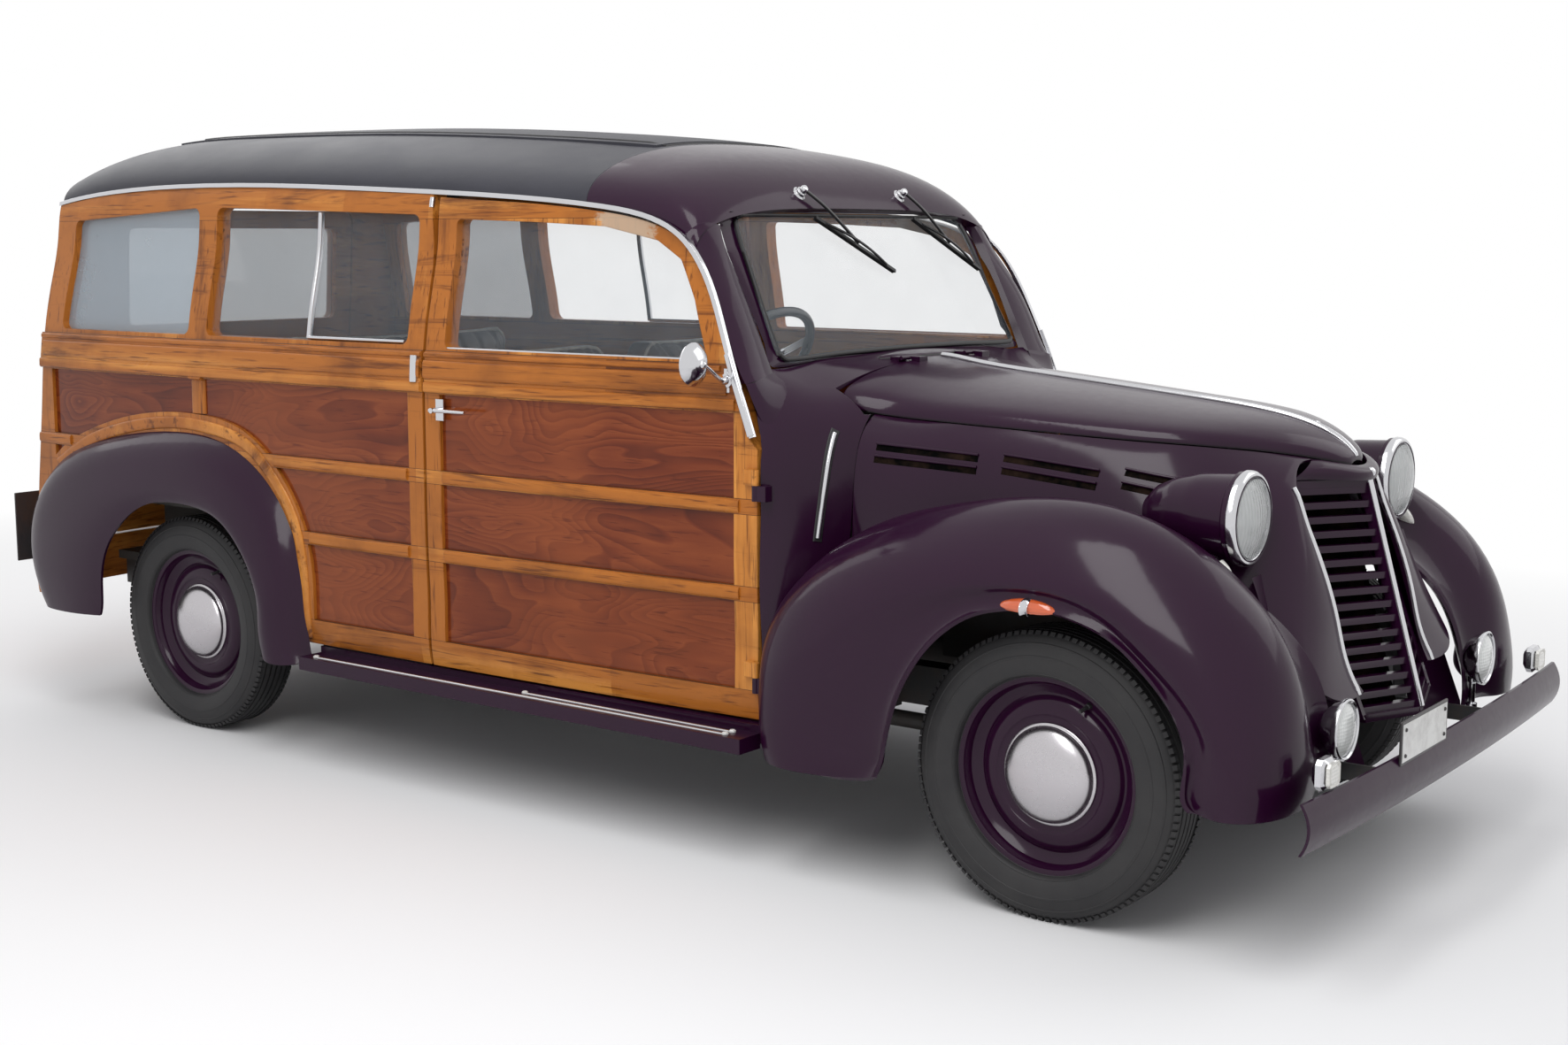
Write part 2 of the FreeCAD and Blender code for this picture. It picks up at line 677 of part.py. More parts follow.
def door_outline(near, far):
    line = gutter_line(2 * size["door_gap"], 0.355)
    rear_top = height(smooth(GUTTER_SHARES, DOOR_REAR_SHARE)) - 2 * size["door_gap"]
    line = [Vector(along(DOOR_REAR_SHARE), 0, rear_top)] + line
    line = [spot for spot in line if spot.z > height(0.575)]
    closing = (
        (DOOR_FRONT_SHARE - 0.008, 0.560), (DOOR_FRONT_SHARE, 0.545), (DOOR_FRONT_SHARE, SILL_SHARE),
        (DOOR_REAR_SHARE, SILL_SHARE),
    )
    return line_prism(line, closing, near, far)


def door_nodes():
    near, far = size["half_width"] / 2, size["half_width"] * 1.2
    stations = spread(DOOR_REAR_SHARE - 0.01, DOOR_FRONT_SHARE + 0.01, 8)
    levels = spread(SILL_SHARE - 0.005, 0.905, 9)
    outline = door_outline(near, far)
    post_share = size["post_width"] / size["wheelbase"]
    fields = panel_fields(DOOR_REAR_SHARE + post_share * 0.8, DOOR_FRONT_SHARE - post_share)
    openings = [side_prism(corners, size["seat_gap"], near, far) for corners in fields]
    window = side_prism(DOOR_WINDOW_SHARES, size["wall"] / 3, near, far)
    frame = side_wall(stations, levels, 0, size["wall"]).common(outline).cut(window)
    rail = belt_rail(DOOR_REAR_SHARE + 0.001, DOOR_FRONT_SHARE - 0.012)
    frame = frame.fuse(rail.common(outline).cut(window))
    for opening in openings:
        frame = frame.cut(opening)
    board = side_wall(stations, levels, size["panel_inset"], size["panel_thickness"])
    panels = Part.makeCompound([board.common(opening) for opening in openings])
    lining = side_wall(stations, levels, size["glass_inset"], size["glass_thickness"])
    pane = lining.common(window)
    solid = biggest(frame)
    grip = door_handle()
    for level in SIDE_HINGE_SHARES:
        solid = solid.fuse(side_hinge(level, -1))
    for name, turn in (("left", False), ("right", True)):
        for label, shape in (
            ("door_", solid), ("door_panels_", panels), ("door_window_", pane),
            ("door_handle_", grip),
        ):
            shaped(label + name, twin(shape) if turn else shape)


SIDE_HINGE_SHARES = (0.245, 0.50)


def slab(corner, *spans):
    """Block spanned by three vectors from a corner."""
    first, second, third = spans
    points = [corner, corner + first, corner + first + second, corner + second]
    return Part.Face(Part.makePolygon(points + points[:1])).extrude(third)


def hinge_half(middle, axis, outward, leafward, foot, radius):
    """Half a hinge: a barrel on one side of middle, with a leaf and a foot in what carries it."""
    length = axis * size["hinge_length"]
    start = middle + axis * size["seat_gap"] / 2
    barrel = Part.makeCylinder(radius, size["hinge_length"], start, axis)
    step, leaf = leafward * radius * 1.5, leafward * size["hinge_leaf"]
    plate = slab(start - outward * radius / 2, leaf, outward * radius, length)
    base = slab(start + step - outward * foot, leaf - step, outward * foot, length)
    return barrel.fuse([plate, base])


def side_hinge(level_share, side):
    """Half of a side door's hinge: side -1 for the door's half, 1 for the cowl's."""
    x_axis = along(DOOR_FRONT_SHARE) + size["door_gap"] / 2
    y_axis = side_y(DOOR_FRONT_SHARE, SIDE_HINGE_SHARES[1]) + size["hinge_stand"]
    middle = Vector(x_axis, y_axis, height(level_share))
    foot = size["hinge_stand"] * 2
    return hinge_half(
        middle, Vector(0, 0, -side), Vector(0, 1, 0), Vector(side, 0, 0), foot, size["hinge_radius"]
    )


def door_handle():
    start = place(0.385, 0, 0.570)
    face = max(side_y(0.385 + step, 0.570 + rise) for step in (-0.01, 0.01) for rise in (-0.02, 0.02))
    face += size["seat_gap"]
    section, reach, length = size["handle_section"], size["handle_reach"], size["handle_length"]
    escutcheon = Part.makeBox(section * 2, section / 3, section * 4)
    escutcheon.translate(Vector(start.x - section, face, start.z - section * 2))
    shank = Part.makeCylinder(section / 2, reach, Vector(start.x, face, start.z), Vector(0, 1, 0))
    thick_end, thin_end = section * 0.40, section * 0.28
    lever_start = Vector(start.x - section * 0.8, face + reach - section * 0.55, start.z)
    lever = Part.makeCone(thick_end, thin_end, length, lever_start, Vector(1, 0, 0))
    return escutcheon.fuse([shank, lever])


# Rear wall with its door.
def rear_x(side_share, height_share, wall_y):
    bow = size["rear_bow"] * (1 - (across(side_share) / wall_y) ** 2)
    return along(smooth(REAR_LINE_SHARES, height_share)) - bow


def rear_rows(sides, levels, inset):
    rows = []
    for level in levels:
        row = []
        for side in sides:
            wall_y = side_y(REAR_LINE_SHARES[2][1], level)
            row.append(Vector(rear_x(side, level, wall_y) + inset, across(side), height(level)))
        rows.append(row)
    return rows


def rear_prism(corners, radius=None):
    near, far = along(-0.45), along(-0.10)
    points = [Vector(near, across(side), height(level)) for side, level in corners]
    wire = rounded_wire(points, radius) if radius else Part.makePolygon(points + points[:1])
    return Part.Face(wire).extrude(Vector(far - near, 0, 0))


REAR_DOOR_HALF_SHARE = 0.66
REAR_DOOR_TOP_SHARE = 0.872
REAR_DOOR_BOTTOM_SHARE = 0.275


REAR_HINGE_SHARES = (0.12, 0.86)


def rear_hinge_line():
    """Foot and top of the rear door's hinge axis, which follows the slope of the rear wall."""
    spots = []
    for level in (REAR_DOOR_BOTTOM_SHARE, REAR_DOOR_TOP_SHARE):
        wall_y = side_y(REAR_LINE_SHARES[2][1], level)
        x_face = rear_x(-REAR_DOOR_HALF_SHARE, level, wall_y)
        spots.append(Vector(x_face - size["hinge_stand"], -across(REAR_DOOR_HALF_SHARE), height(level)))
    return spots


def rear_hinge(share, side):
    """Half of the rear door's hinge: side 1 for the door's half, -1 for the frame's."""
    foot, top = rear_hinge_line()
    axis = (top - foot).normalize()
    outward = Vector(0, -1, 0).cross(axis)
    middle = foot + (top - foot) * share
    depth = size["hinge_stand"] * 2
    return hinge_half(middle, axis * side, outward, Vector(0, side, 0), depth, size["hinge_radius"])


def rear_nodes():
    sides = spread(-0.93, 0.93, 9)
    levels = spread(0.195, 0.985, 9)
    wall = solid_between(rear_rows(sides, levels, 0), rear_rows(sides, levels, size["wall"]))
    clear = size["wall"] + size["seat_gap"]
    right, left = [], []
    for level in spread(0.195, 0.868, 8):
        half = (side_y(REAR_LINE_SHARES[2][1], level) - clear) / size["half_width"]
        left.append((half, level))
        right.append((-half, level))
    crown = []
    eave = smooth(GUTTER_SHARES, GUTTER_SHARES[0][0])
    half = side_y(GUTTER_SHARES[0][0], eave)
    drop = (size["roof_thickness"] + size["wall"]) / size["roof_height"]
    rise = ROOF_TOP_SHARES[0][1] - eave
    for angle in spread(-0.9, 0.9, 9):
        side = math.sin(angle) * half / size["half_width"]
        crown.append((-side, eave + rise * math.cos(angle) - drop))
    outline = rear_prism(left + crown + right[::-1])
    gap_side = size["door_gap"] / size["half_width"]
    gap_level = size["door_gap"] / size["roof_height"]
    half, top, bottom = REAR_DOOR_HALF_SHARE, REAR_DOOR_TOP_SHARE, REAR_DOOR_BOTTOM_SHARE
    opening = rear_prism(((-half, bottom), (half, bottom), (half, top), (-half, top)), size["wall"])
    frame = seated(wall.common(outline).cut(opening), "body_side_left", "body_side_right", "roof_cloth")
    for share in REAR_HINGE_SHARES:
        frame = frame.fuse(rear_hinge(share, -1))
    shaped("rear_frame", frame)
    inner_half, inner_top, inner_bottom = half - gap_side, top - gap_level, bottom + gap_level
    leaf = rear_prism(
        (
            (-inner_half, inner_bottom), (inner_half, inner_bottom),
            (inner_half, inner_top), (-inner_half, inner_top),
        ),
        size["wall"],
    )
    frame_side = size["post_width"] / size["half_width"]
    frame_level = size["post_width"] / size["roof_height"]
    window = rear_prism(
        (
            (-half + frame_side, WINDOW_SILL_SHARE), (half - frame_side, WINDOW_SILL_SHARE),
            (half - frame_side, top - frame_level), (-half + frame_side, top - frame_level),
        ),
        size["wall"] / 2,
    )
    door = biggest(wall.common(leaf).cut(window))
    for share in REAR_HINGE_SHARES:
        door = door.fuse(rear_hinge(share, 1))
    shaped("rear_door", door)
    lining = solid_between(
        rear_rows(sides, levels, size["glass_inset"]),
        rear_rows(sides, levels, size["glass_inset"] + size["glass_thickness"]),
    )
    shaped("rear_window", biggest(lining.common(window)))


# Cowl, hood and nose.
COWL_SHARES = (
    (0.7150, ((0.000, 0.6580), (0.357, 0.6546), (0.643, 0.6486), (0.800, 0.6425), (0.905, 0.6350),
              (0.948, 0.6180), (0.960, 0.5700), (0.962, 0.4800), (0.962, 0.3600), (0.949, 0.1920))),
    (0.7370, ((0.000, 0.6516), (0.357, 0.6456), (0.614, 0.6306), (0.790, 0.6130), (0.890, 0.5940),
              (0.936, 0.5640), (0.950, 0.5105), (0.957, 0.4324), (0.956, 0.3303), (0.943, 0.1922))),
    (0.7593, ((0.000, 0.6474), (0.357, 0.6366), (0.580, 0.6156), (0.700, 0.5960), (0.780, 0.5690),
              (0.822, 0.5300), (0.850, 0.4805), (0.880, 0.4084), (0.905, 0.3003), (0.910, 0.1922))),
    (0.7815, ((0.000, 0.6432), (0.357, 0.6276), (0.550, 0.6006), (0.610, 0.5800), (0.650, 0.5600),
              (0.685, 0.5165), (0.700, 0.4565), (0.720, 0.3964), (0.780, 0.3003), (0.820, 0.1922))),
)
HOOD_SHARES = (
    (0.7520, 0.600, 0.6010, 0.6500), (0.7880, 0.568, 0.5900, 0.6425), (0.8520, 0.548, 0.5840, 0.6310),
    (0.9260, 0.514, 0.5785, 0.6200), (1.0000, 0.464, 0.5730, 0.6085), (1.0560, 0.385, 0.5680, 0.5980),
    (1.0930, 0.257, 0.5600, 0.5850), (1.1200, 0.143, 0.5500, 0.5665), (1.1350, 0.040, 0.5400, 0.5450),
)
NOSE_SHARES = (
    ((0.7815, 0.575, 0.5850), (0.7815, 0.650, 0.5586), (0.7815, 0.690, 0.4985), (0.7815, 0.700, 0.4204),
     (0.7815, 0.710, 0.3303)),
    ((0.8520, 0.552, 0.5780), (0.8550, 0.605, 0.5510), (0.8600, 0.630, 0.5045), (0.8650, 0.635, 0.4625),
     (0.8700, 0.635, 0.3904)),
    ((0.9260, 0.518, 0.5725), (0.9280, 0.565, 0.5460), (0.9300, 0.600, 0.5045), (0.9350, 0.614, 0.4600),
     (0.9400, 0.614, 0.3904)),
    ((1.0000, 0.469, 0.5670), (1.0040, 0.529, 0.5405), (1.0080, 0.582, 0.4985), (1.0120, 0.605, 0.4565),
     (1.0180, 0.610, 0.3904)),
    ((1.0560, 0.391, 0.5620), (1.0650, 0.457, 0.5315), (1.0780, 0.525, 0.4805), (1.0930, 0.571, 0.4205),
     (1.1050, 0.600, 0.3604)),
    ((1.0930, 0.265, 0.5540), (1.1050, 0.350, 0.5225), (1.1220, 0.430, 0.4565), (1.1410, 0.507, 0.3724),
     (1.1600, 0.560, 0.3003)),
    ((1.1170, 0.170, 0.5455), (1.1120, 0.270, 0.5235), (1.1340, 0.300, 0.4480), (1.1540, 0.295, 0.3604),
     (1.1740, 0.271, 0.2703)),
)
NOSE_TIP_SHARES = (
    ((1.1165, -0.175, 0.5455), (1.1345, -0.085, 0.5385), (1.1400, 0.000, 0.5350),
     (1.1345, 0.085, 0.5385), (1.1165, 0.175, 0.5455)),
    ((1.1175, -0.240, 0.5340), (1.1410, -0.115, 0.5300), (1.1490, 0.000, 0.5270),
     (1.1410, 0.115, 0.5300), (1.1175, 0.240, 0.5340)),
    ((1.1115, -0.275, 0.5215), (1.1370, -0.130, 0.5195), (1.1480, 0.000, 0.5170),
     (1.1370, 0.130, 0.5195), (1.1115, 0.275, 0.5215)),
)


def shell_rows(table):
    return [[place(*spot) for spot in row] for row in table]


def to_centre(rows):
    return [[Vector(spot.x, 0, spot.z) for spot in row] for row in rows]


def evened(row, count):
    """Points at equal steps along a smooth curve through a row."""
    line = Part.BSplineCurve()
    line.interpolate(row)
    return line.toShape().discretize(Number=count)


def cowl_rows():
    rows = []
    for station, line in COWL_SHARES:
        rows.append(evened([place(station, side, level) for side, level in line], 12))
    return rows


def full_width(rows):
    """Rows over the whole width from rows that start at the centre line."""
    whole = []
    for row in rows:
        other = [Vector(spot.x, -spot.y, spot.z) for spot in row[:0:-1]]
        whole.append(other + row)
    return whole


def hood_rows(drop):
    rows = []
    for station, half, edge, crown in HOOD_SHARES:
        row = []
        for angle in spread(0, math.pi / 2, 7):
            side = across(half) * math.sin(angle)
            level = height(edge) + (height(crown) - height(edge)) * math.cos(angle)
            row.append(Vector(along(station), side, level - drop))
        rows.append(row)
    return full_width(rows)


HOOD_HINGE_SHARE = 0.20
HOOD_HINGE_THINNESS_SHARE = 0.6


def hood_hinge(side_share, side):
    """Half of a hood hinge: side 1 for the hood's half, -1 for the cowl's."""
    radius = size["hinge_radius"] * HOOD_HINGE_THINNESS_SHARE
    station, crown = HOOD_SHARES[0][0], HOOD_SHARES[0][3]
    x_axis = along(station) - size["door_gap"] / 2
    middle = Vector(x_axis, across(side_share), height(crown) + radius / 2)
    return hinge_half(
        middle, Vector(0, side, 0), Vector(0, 0, 1), Vector(side, 0, 0), size["hinge_radius"] * 2, radius
    )


DOOR_SPACE_SHARES = (
    (0.600, 0.100), (DOOR_FRONT_SHARE + 0.0025, 0.100), (DOOR_FRONT_SHARE + 0.0025, 0.545),
    (0.7355, 0.562), (0.7295, 0.589), (0.7195, 0.631), (0.7150, 0.648), (0.600, 0.648),
)


def front_nodes():
    cowl_half = cowl_rows()
    cowl = thick(full_width(cowl_half), size["steel"])
    hood_space = Part.Face(Part.makePolygon([
        Vector(along(0.7520) - size["door_gap"], -across(0.62), 0),
        Vector(along(0.7520) - size["door_gap"], across(0.62), 0),
        Vector(along(0.9), across(0.60), 0),
        Vector(along(0.9), -across(0.60), 0),
        Vector(along(0.7520) - size["door_gap"], -across(0.62), 0),
    ])).extrude(Vector(0, 0, height(0.585)))
    hood_space.translate(Vector(0, 0, height(0.585)))
    near, far = across(0.82), across(1.2)
    door_space = side_prism(DOOR_SPACE_SHARES, size["door_gap"], near, far)
    cowl = biggest(cowl.cut([hood_space, door_space, twin(door_space)]))
    for level in SIDE_HINGE_SHARES:
        half = side_hinge(level, 1)
        cowl = cowl.fuse([half, twin(half)])
    hood = solid_between(hood_rows(0), hood_rows(size["steel"]))
    for side in (HOOD_HINGE_SHARE, -HOOD_HINGE_SHARE):
        cowl = cowl.fuse(hood_hinge(side, -1))
        hood = hood.fuse(hood_hinge(side, 1))
    shaped("cowl", cowl)
    shaped("hood", hood)
    nose_rows = shell_rows(NOSE_SHARES)
    cheek = thick(nose_rows, size["steel"])
    tip = thick(shell_rows(NOSE_TIP_SHARES), size["steel"])
    shaped("nose", seated(cheek.fuse([twin(cheek), tip]), "cowl", "hood"))
    bulk = solid_between(nose_rows, to_centre(nose_rows))
    cowl_sides = [row[4:] for row in cowl_half]
    cowl_bulk = solid_between(cowl_sides, to_centre(cowl_sides))
    return bulk, cowl_bulk


FRONT_FENDER_SIDE_SHARES = (0.560, 0.786, 0.943, 1.050, 1.081, 1.081)
FRONT_FENDER_SHARES = (
    ((0.778, 0.156), (0.778, 0.240), (0.783, 0.330), (0.804, 0.396), (0.844, 0.441), (0.904, 0.465),
     (0.970, 0.471), (1.030, 0.459), (1.085, 0.420), (1.137, 0.369), (1.169, 0.306), (1.180, 0.240),
     (1.181, 0.186)),
    ((0.756, 0.150), (0.752, 0.234), (0.757, 0.324), (0.785, 0.399), (0.833, 0.456), (0.900, 0.489),
     (0.967, 0.505), (1.033, 0.502), (1.089, 0.474), (1.141, 0.417), (1.174, 0.342), (1.187, 0.264),
     (1.189, 0.186)),
    ((0.748, 0.147), (0.743, 0.222), (0.746, 0.312), (0.778, 0.387), (0.830, 0.441), (0.896, 0.474),
     (0.967, 0.491), (1.033, 0.489), (1.089, 0.462), (1.141, 0.408), (1.174, 0.333), (1.187, 0.258),
     (1.189, 0.183)),
    ((0.763, 0.145), (0.757, 0.210), (0.767, 0.288), (0.796, 0.354), (0.844, 0.402), (0.904, 0.434),
     (0.967, 0.447), (1.030, 0.446), (1.081, 0.423), (1.126, 0.375), (1.157, 0.306), (1.172, 0.240),
     (1.176, 0.182)),
    ((0.800, 0.144), (0.800, 0.192), (0.811, 0.252), (0.837, 0.318), (0.874, 0.366), (0.919, 0.399),
     (0.967, 0.414), (1.022, 0.416), (1.067, 0.396), (1.104, 0.354), (1.137, 0.294), (1.152, 0.234),
     (1.156, 0.181)),
    ((0.871, 0.157), (0.879, 0.198), (0.889, 0.258), (0.911, 0.321), (0.939, 0.363), (0.967, 0.384),
     (1.000, 0.392), (1.033, 0.389), (1.067, 0.372), (1.094, 0.342), (1.119, 0.294), (1.130, 0.234),
     (1.134, 0.189)),
)
REAR_FENDER_SIDE_SHARES = (1.002, 1.050, 1.081, 1.081)
REAR_FENDER_SHARES = (
    ((-0.230, 0.174), (-0.256, 0.258), (-0.247, 0.354), (-0.209, 0.423), (-0.122, 0.477),
     (-0.013, 0.501), (0.072, 0.492), (0.135, 0.443), (0.175, 0.361), (0.191, 0.258), (0.200, 0.162)),
    ((-0.222, 0.174), (-0.245, 0.252), (-0.237, 0.342), (-0.202, 0.405), (-0.119, 0.458),
     (-0.011, 0.480), (0.069, 0.473), (0.128, 0.426), (0.166, 0.351), (0.181, 0.258), (0.194, 0.157)),
    ((-0.196, 0.174), (-0.211, 0.246), (-0.204, 0.324), (-0.174, 0.378), (-0.104, 0.426),
     (-0.007, 0.447), (0.063, 0.440), (0.115, 0.399), (0.152, 0.330), (0.169, 0.252), (0.181, 0.153)),
    ((-0.115, 0.178), (-0.110, 0.240), (-0.097, 0.300), (-0.074, 0.339), (-0.037, 0.375),
     (0.007, 0.389), (0.052, 0.387), (0.093, 0.366), (0.128, 0.309), (0.144, 0.240), (0.150, 0.157)),
)


def fender_rows(sides, lines):
    return [[place(station, side, level) for station, level in line] for side, line in zip(sides, lines)]


def fender_nodes(nose_bulk, cowl_bulk):
    front = thick(fender_rows(FRONT_FENDER_SIDE_SHARES, FRONT_FENDER_SHARES), size["steel"])
    front = seated(front.cut([nose_bulk, cowl_bulk]), "cowl", "nose")
    rear = thick(fender_rows(REAR_FENDER_SIDE_SHARES, REAR_FENDER_SHARES), size["steel"])
    rear = seated(rear, "body_side_left", "side_panels")
    shaped("front_fenders", Part.makeCompound([front, twin(front)]))
    shaped("rear_fenders", Part.makeCompound([rear, twin(rear)]))


# Grille: two flat fields of slats that meet at a ridge.
RIDGE_TOP_SHARES = (1.1460, 0.000, 0.5130)
RIDGE_FOOT_SHARES = (1.1950, 0.000, 0.2300)
GRILLE_TOP_SHARES = (1.1080, 0.300, 0.5165)
GRILLE_FOOT_SHARES = (1.1765, 0.270, 0.2360)


def bar(start, end, width, depth):
    """Straight bar with a rectangular section, its depth measured backwards."""
    direction = end - start
    side = direction.cross(Vector(1, 0, 0)).normalize() * (width / 2)
    back = Vector(-depth, 0, 0)
    corners = [start - side, start + side, start + side + back, start - side + back]
    return Part.Face(Part.makePolygon(corners + corners[:1])).extrude(direction)


def grille_nodes():
    ridge_top, ridge_foot = place(*RIDGE_TOP_SHARES), place(*RIDGE_FOOT_SHARES)
    edge_top, edge_foot = place(*GRILLE_TOP_SHARES), place(*GRILLE_FOOT_SHARES)
    width, depth = size["grille_bar"], size["slat_depth"]
    pieces = [bar(ridge_foot, ridge_top, width, depth), bar(edge_foot, edge_top, width, depth)]
    count = int(size["slat_count"])
    for index in range(count):
        share = (index + 0.5) / count
        inner = ridge_foot + (ridge_top - ridge_foot) * share
        outer = edge_foot + (edge_top - edge_foot) * share
        back = Vector(-size["steel"] / 2, 0, 0)
        pieces.append(bar(inner + back, outer + back, size["slat_height"], depth))
    pieces.append(bar(ridge_top, edge_top, width, depth))
    pieces.append(bar(ridge_foot, edge_foot, width, depth))
    half = pieces[0].fuse(pieces[1:])
    shaped("grille", seated(half.fuse(twin(half)).removeSplitter(), "nose"))


# Wheels and tyres.
def wheel_nodes():
    for end, axle in (("front", FRONT_AXLE), ("rear", REAR_AXLE)):
        for name, sign in (("left", "1"), ("right", "-1")):
            middle = (axle, sign + " * wheel_track_half", "tyre_radius")
            tyre = lathe("tyre_%s_%s" % (end, name), tyre_outline(), middle)
            node("tyre_%s_%s" % (end, name), tyre)
            wheel = lathe("wheel_%s_%s" % (end, name), wheel_outline(sign), middle)
            node("wheel_%s_%s" % (end, name), wheel)


def tyre_outline():
    inner = "(rim_radius + seat_gap)"
    lip = "(rim_radius + rim_lip)"
    return (
        (inner, "-rim_width / 2 + rim_thickness + seat_gap"),
        (inner, "rim_width / 2 - rim_thickness - seat_gap"),
        (lip + " + seat_gap", "rim_width / 2 - rim_thickness - seat_gap"),
        (lip + " + seat_gap * 3", "rim_width / 2 + seat_gap"),
        (lip + " + (tyre_radius - rim_radius) * 0.2", "tyre_width * 0.47"),
        (lip + " + (tyre_radius - rim_radius) * 0.42", "tyre_width * 0.50"),
        ("tyre_radius - (tyre_radius - rim_radius) * 0.22", "tyre_width * 0.46"),
        ("tyre_radius - (tyre_radius - rim_radius) * 0.06", "tread_width / 2 + tyre_width * 0.02"),
        ("tyre_radius", "tread_width / 2 - tyre_width * 0.05"),
        ("tyre_radius", "-tread_width / 2 + tyre_width * 0.05"),
        ("tyre_radius - (tyre_radius - rim_radius) * 0.06", "-tread_width / 2 - tyre_width * 0.02"),
        ("tyre_radius - (tyre_radius - rim_radius) * 0.22", "-tyre_width * 0.46"),
        (lip + " + (tyre_radius - rim_radius) * 0.42", "-tyre_width * 0.50"),
        (lip + " + (tyre_radius - rim_radius) * 0.2", "-tyre_width * 0.47"),
        (lip + " + seat_gap * 3", "-rim_width / 2 - seat_gap"),
        (lip + " + seat_gap", "-rim_width / 2 + rim_thickness + seat_gap"),
    )


def wheel_outline(sign):
    """Half section of rim, disc, cap and hub; sign 1 has its disc towards +Y."""
    rows = (
        ("0", "disc_offset + cap_height"),
        ("cap_radius * 0.55", "disc_offset + cap_height * 0.86"),
        ("cap_radius * 0.86", "disc_offset + cap_height * 0.52"),
        ("cap_radius", "disc_offset + cap_height * 0.10"),
        ("cap_radius", "disc_offset"),
        ("cap_radius + rim_thickness * 2", "disc_offset + rim_thickness"),
        ("rim_radius - rim_lip * 3", "disc_offset"),
        ("rim_radius - rim_lip * 2", "disc_offset - rim_thickness"),
        ("rim_radius - rim_thickness", "disc_offset - rim_thickness / 2"),
        ("rim_radius - rim_thickness", "rim_width / 2"),
        ("rim_radius + rim_lip", "rim_width / 2"),
        ("rim_radius + rim_lip", "rim_width / 2 - rim_thickness"),
        ("rim_radius", "rim_width / 2 - rim_thickness"),
        ("rim_radius", "-rim_width / 2 + rim_thickness"),
        ("rim_radius + rim_lip", "-rim_width / 2 + rim_thickness"),
        ("rim_radius + rim_lip", "-rim_width / 2"),
        ("rim_radius - rim_thickness", "-rim_width / 2"),
        ("rim_radius - rim_thickness", "disc_offset - rim_thickness * 2"),
        ("hub_radius", "disc_offset - rim_thickness * 2"),
        ("hub_radius", "disc_offset - hub_depth"),
        ("stub_radius + bearing_gap", "disc_offset - hub_depth"),
        ("stub_radius + bearing_gap", "disc_offset - hub_depth + stub_reach"),
        ("0", "disc_offset - hub_depth + stub_reach"),
    )
    return tuple((radius, "%s * (%s)" % (sign, level)) for radius, level in rows)


# Axles, knuckles, springs and chassis.
BEAM_LEVEL = RAIL_LEVEL + " - rail_height / 2 - seat_gap - king_boss_height / 4"


def running_gear_nodes():
    boss = rod("king_boss", (0, 0, 1), (FRONT_AXLE, "king_pin_half", "tyre_radius - king_boss_height / 2"),
               "king_boss_height", "king_boss_radius")
    bore = rod("king_bore", (0, 0, 1), (FRONT_AXLE, "king_pin_half", "tyre_radius - king_boss_height"),
               "king_boss_height * 2", "king_pin_radius + bearing_gap")
    arm = block("axle_arm", (FRONT_AXLE, "king_pin_half - king_boss_radius * 2", BEAM_LEVEL),
                ("rail_width", "king_boss_radius * 4", "king_boss_height / 2"))
    beam = block("axle_beam", (FRONT_AXLE, "0", BEAM_LEVEL),
                 ("rail_width", "2 * king_pin_half - 4 * king_boss_radius", "king_boss_height / 2"))
    end = less("axle_end", joined("axle_end_whole", [boss, arm]), bore)
    node("front_axle", joined("front_axle_whole", [beam, end, mirrored(end)]))

    level = "tyre_radius"
    post_y = "king_pin_half + king_boss_radius + knuckle_plate"
    pin = rod("king_pin", (0, 0, 1),
              (FRONT_AXLE, "king_pin_half", level + " - king_boss_height / 2 - seat_gap"),
              "king_boss_height + 2 * seat_gap", "king_pin_radius")
    plates = []
    for name, sign in (("upper", "+"), ("lower", "-")):
        middle = "%s %s (king_boss_height / 2 + seat_gap + knuckle_plate / 2)" % (level, sign)
        plates.append(block(
            "knuckle_plate_" + name,
            (FRONT_AXLE, "king_pin_half + knuckle_width / 4", middle),
            ("knuckle_width", "knuckle_width * 1.5", "knuckle_plate"),
        ))
    post = block("knuckle_post", (FRONT_AXLE, post_y, level),
                 ("knuckle_width", "knuckle_plate", "king_boss_height + 2 * knuckle_plate"))
    stub = rod("knuckle_stub", (0, 1, 0), (FRONT_AXLE, post_y, level),
               "wheel_track_half + disc_offset - hub_depth + stub_reach - seat_gap - (%s)" % post_y,
               "stub_radius")
    left = joined("knuckle_left_whole", [pin, post, stub] + plates)
    node("knuckle_left", left)
    node("knuckle_right", mirrored(left))

    reach = "(wheel_track_half + disc_offset - hub_depth + stub_reach - seat_gap)"
    tube_end = "(wheel_track_half + disc_offset - hub_depth - seat_gap)"
    tube = rod("axle_tube", (0, 1, 0), (REAR_AXLE, "-" + tube_end, level), "2 * " + tube_end,
               "axle_tube_radius")
    stub = rod("axle_stub", (0, 1, 0), (REAR_AXLE, "-" + reach, level), "2 * " + reach, "stub_radius")
    bulb = ball("differential", (REAR_AXLE, "0", level), "differential_radius")
    return joined("rear_axle_whole", [tube, stub, bulb])


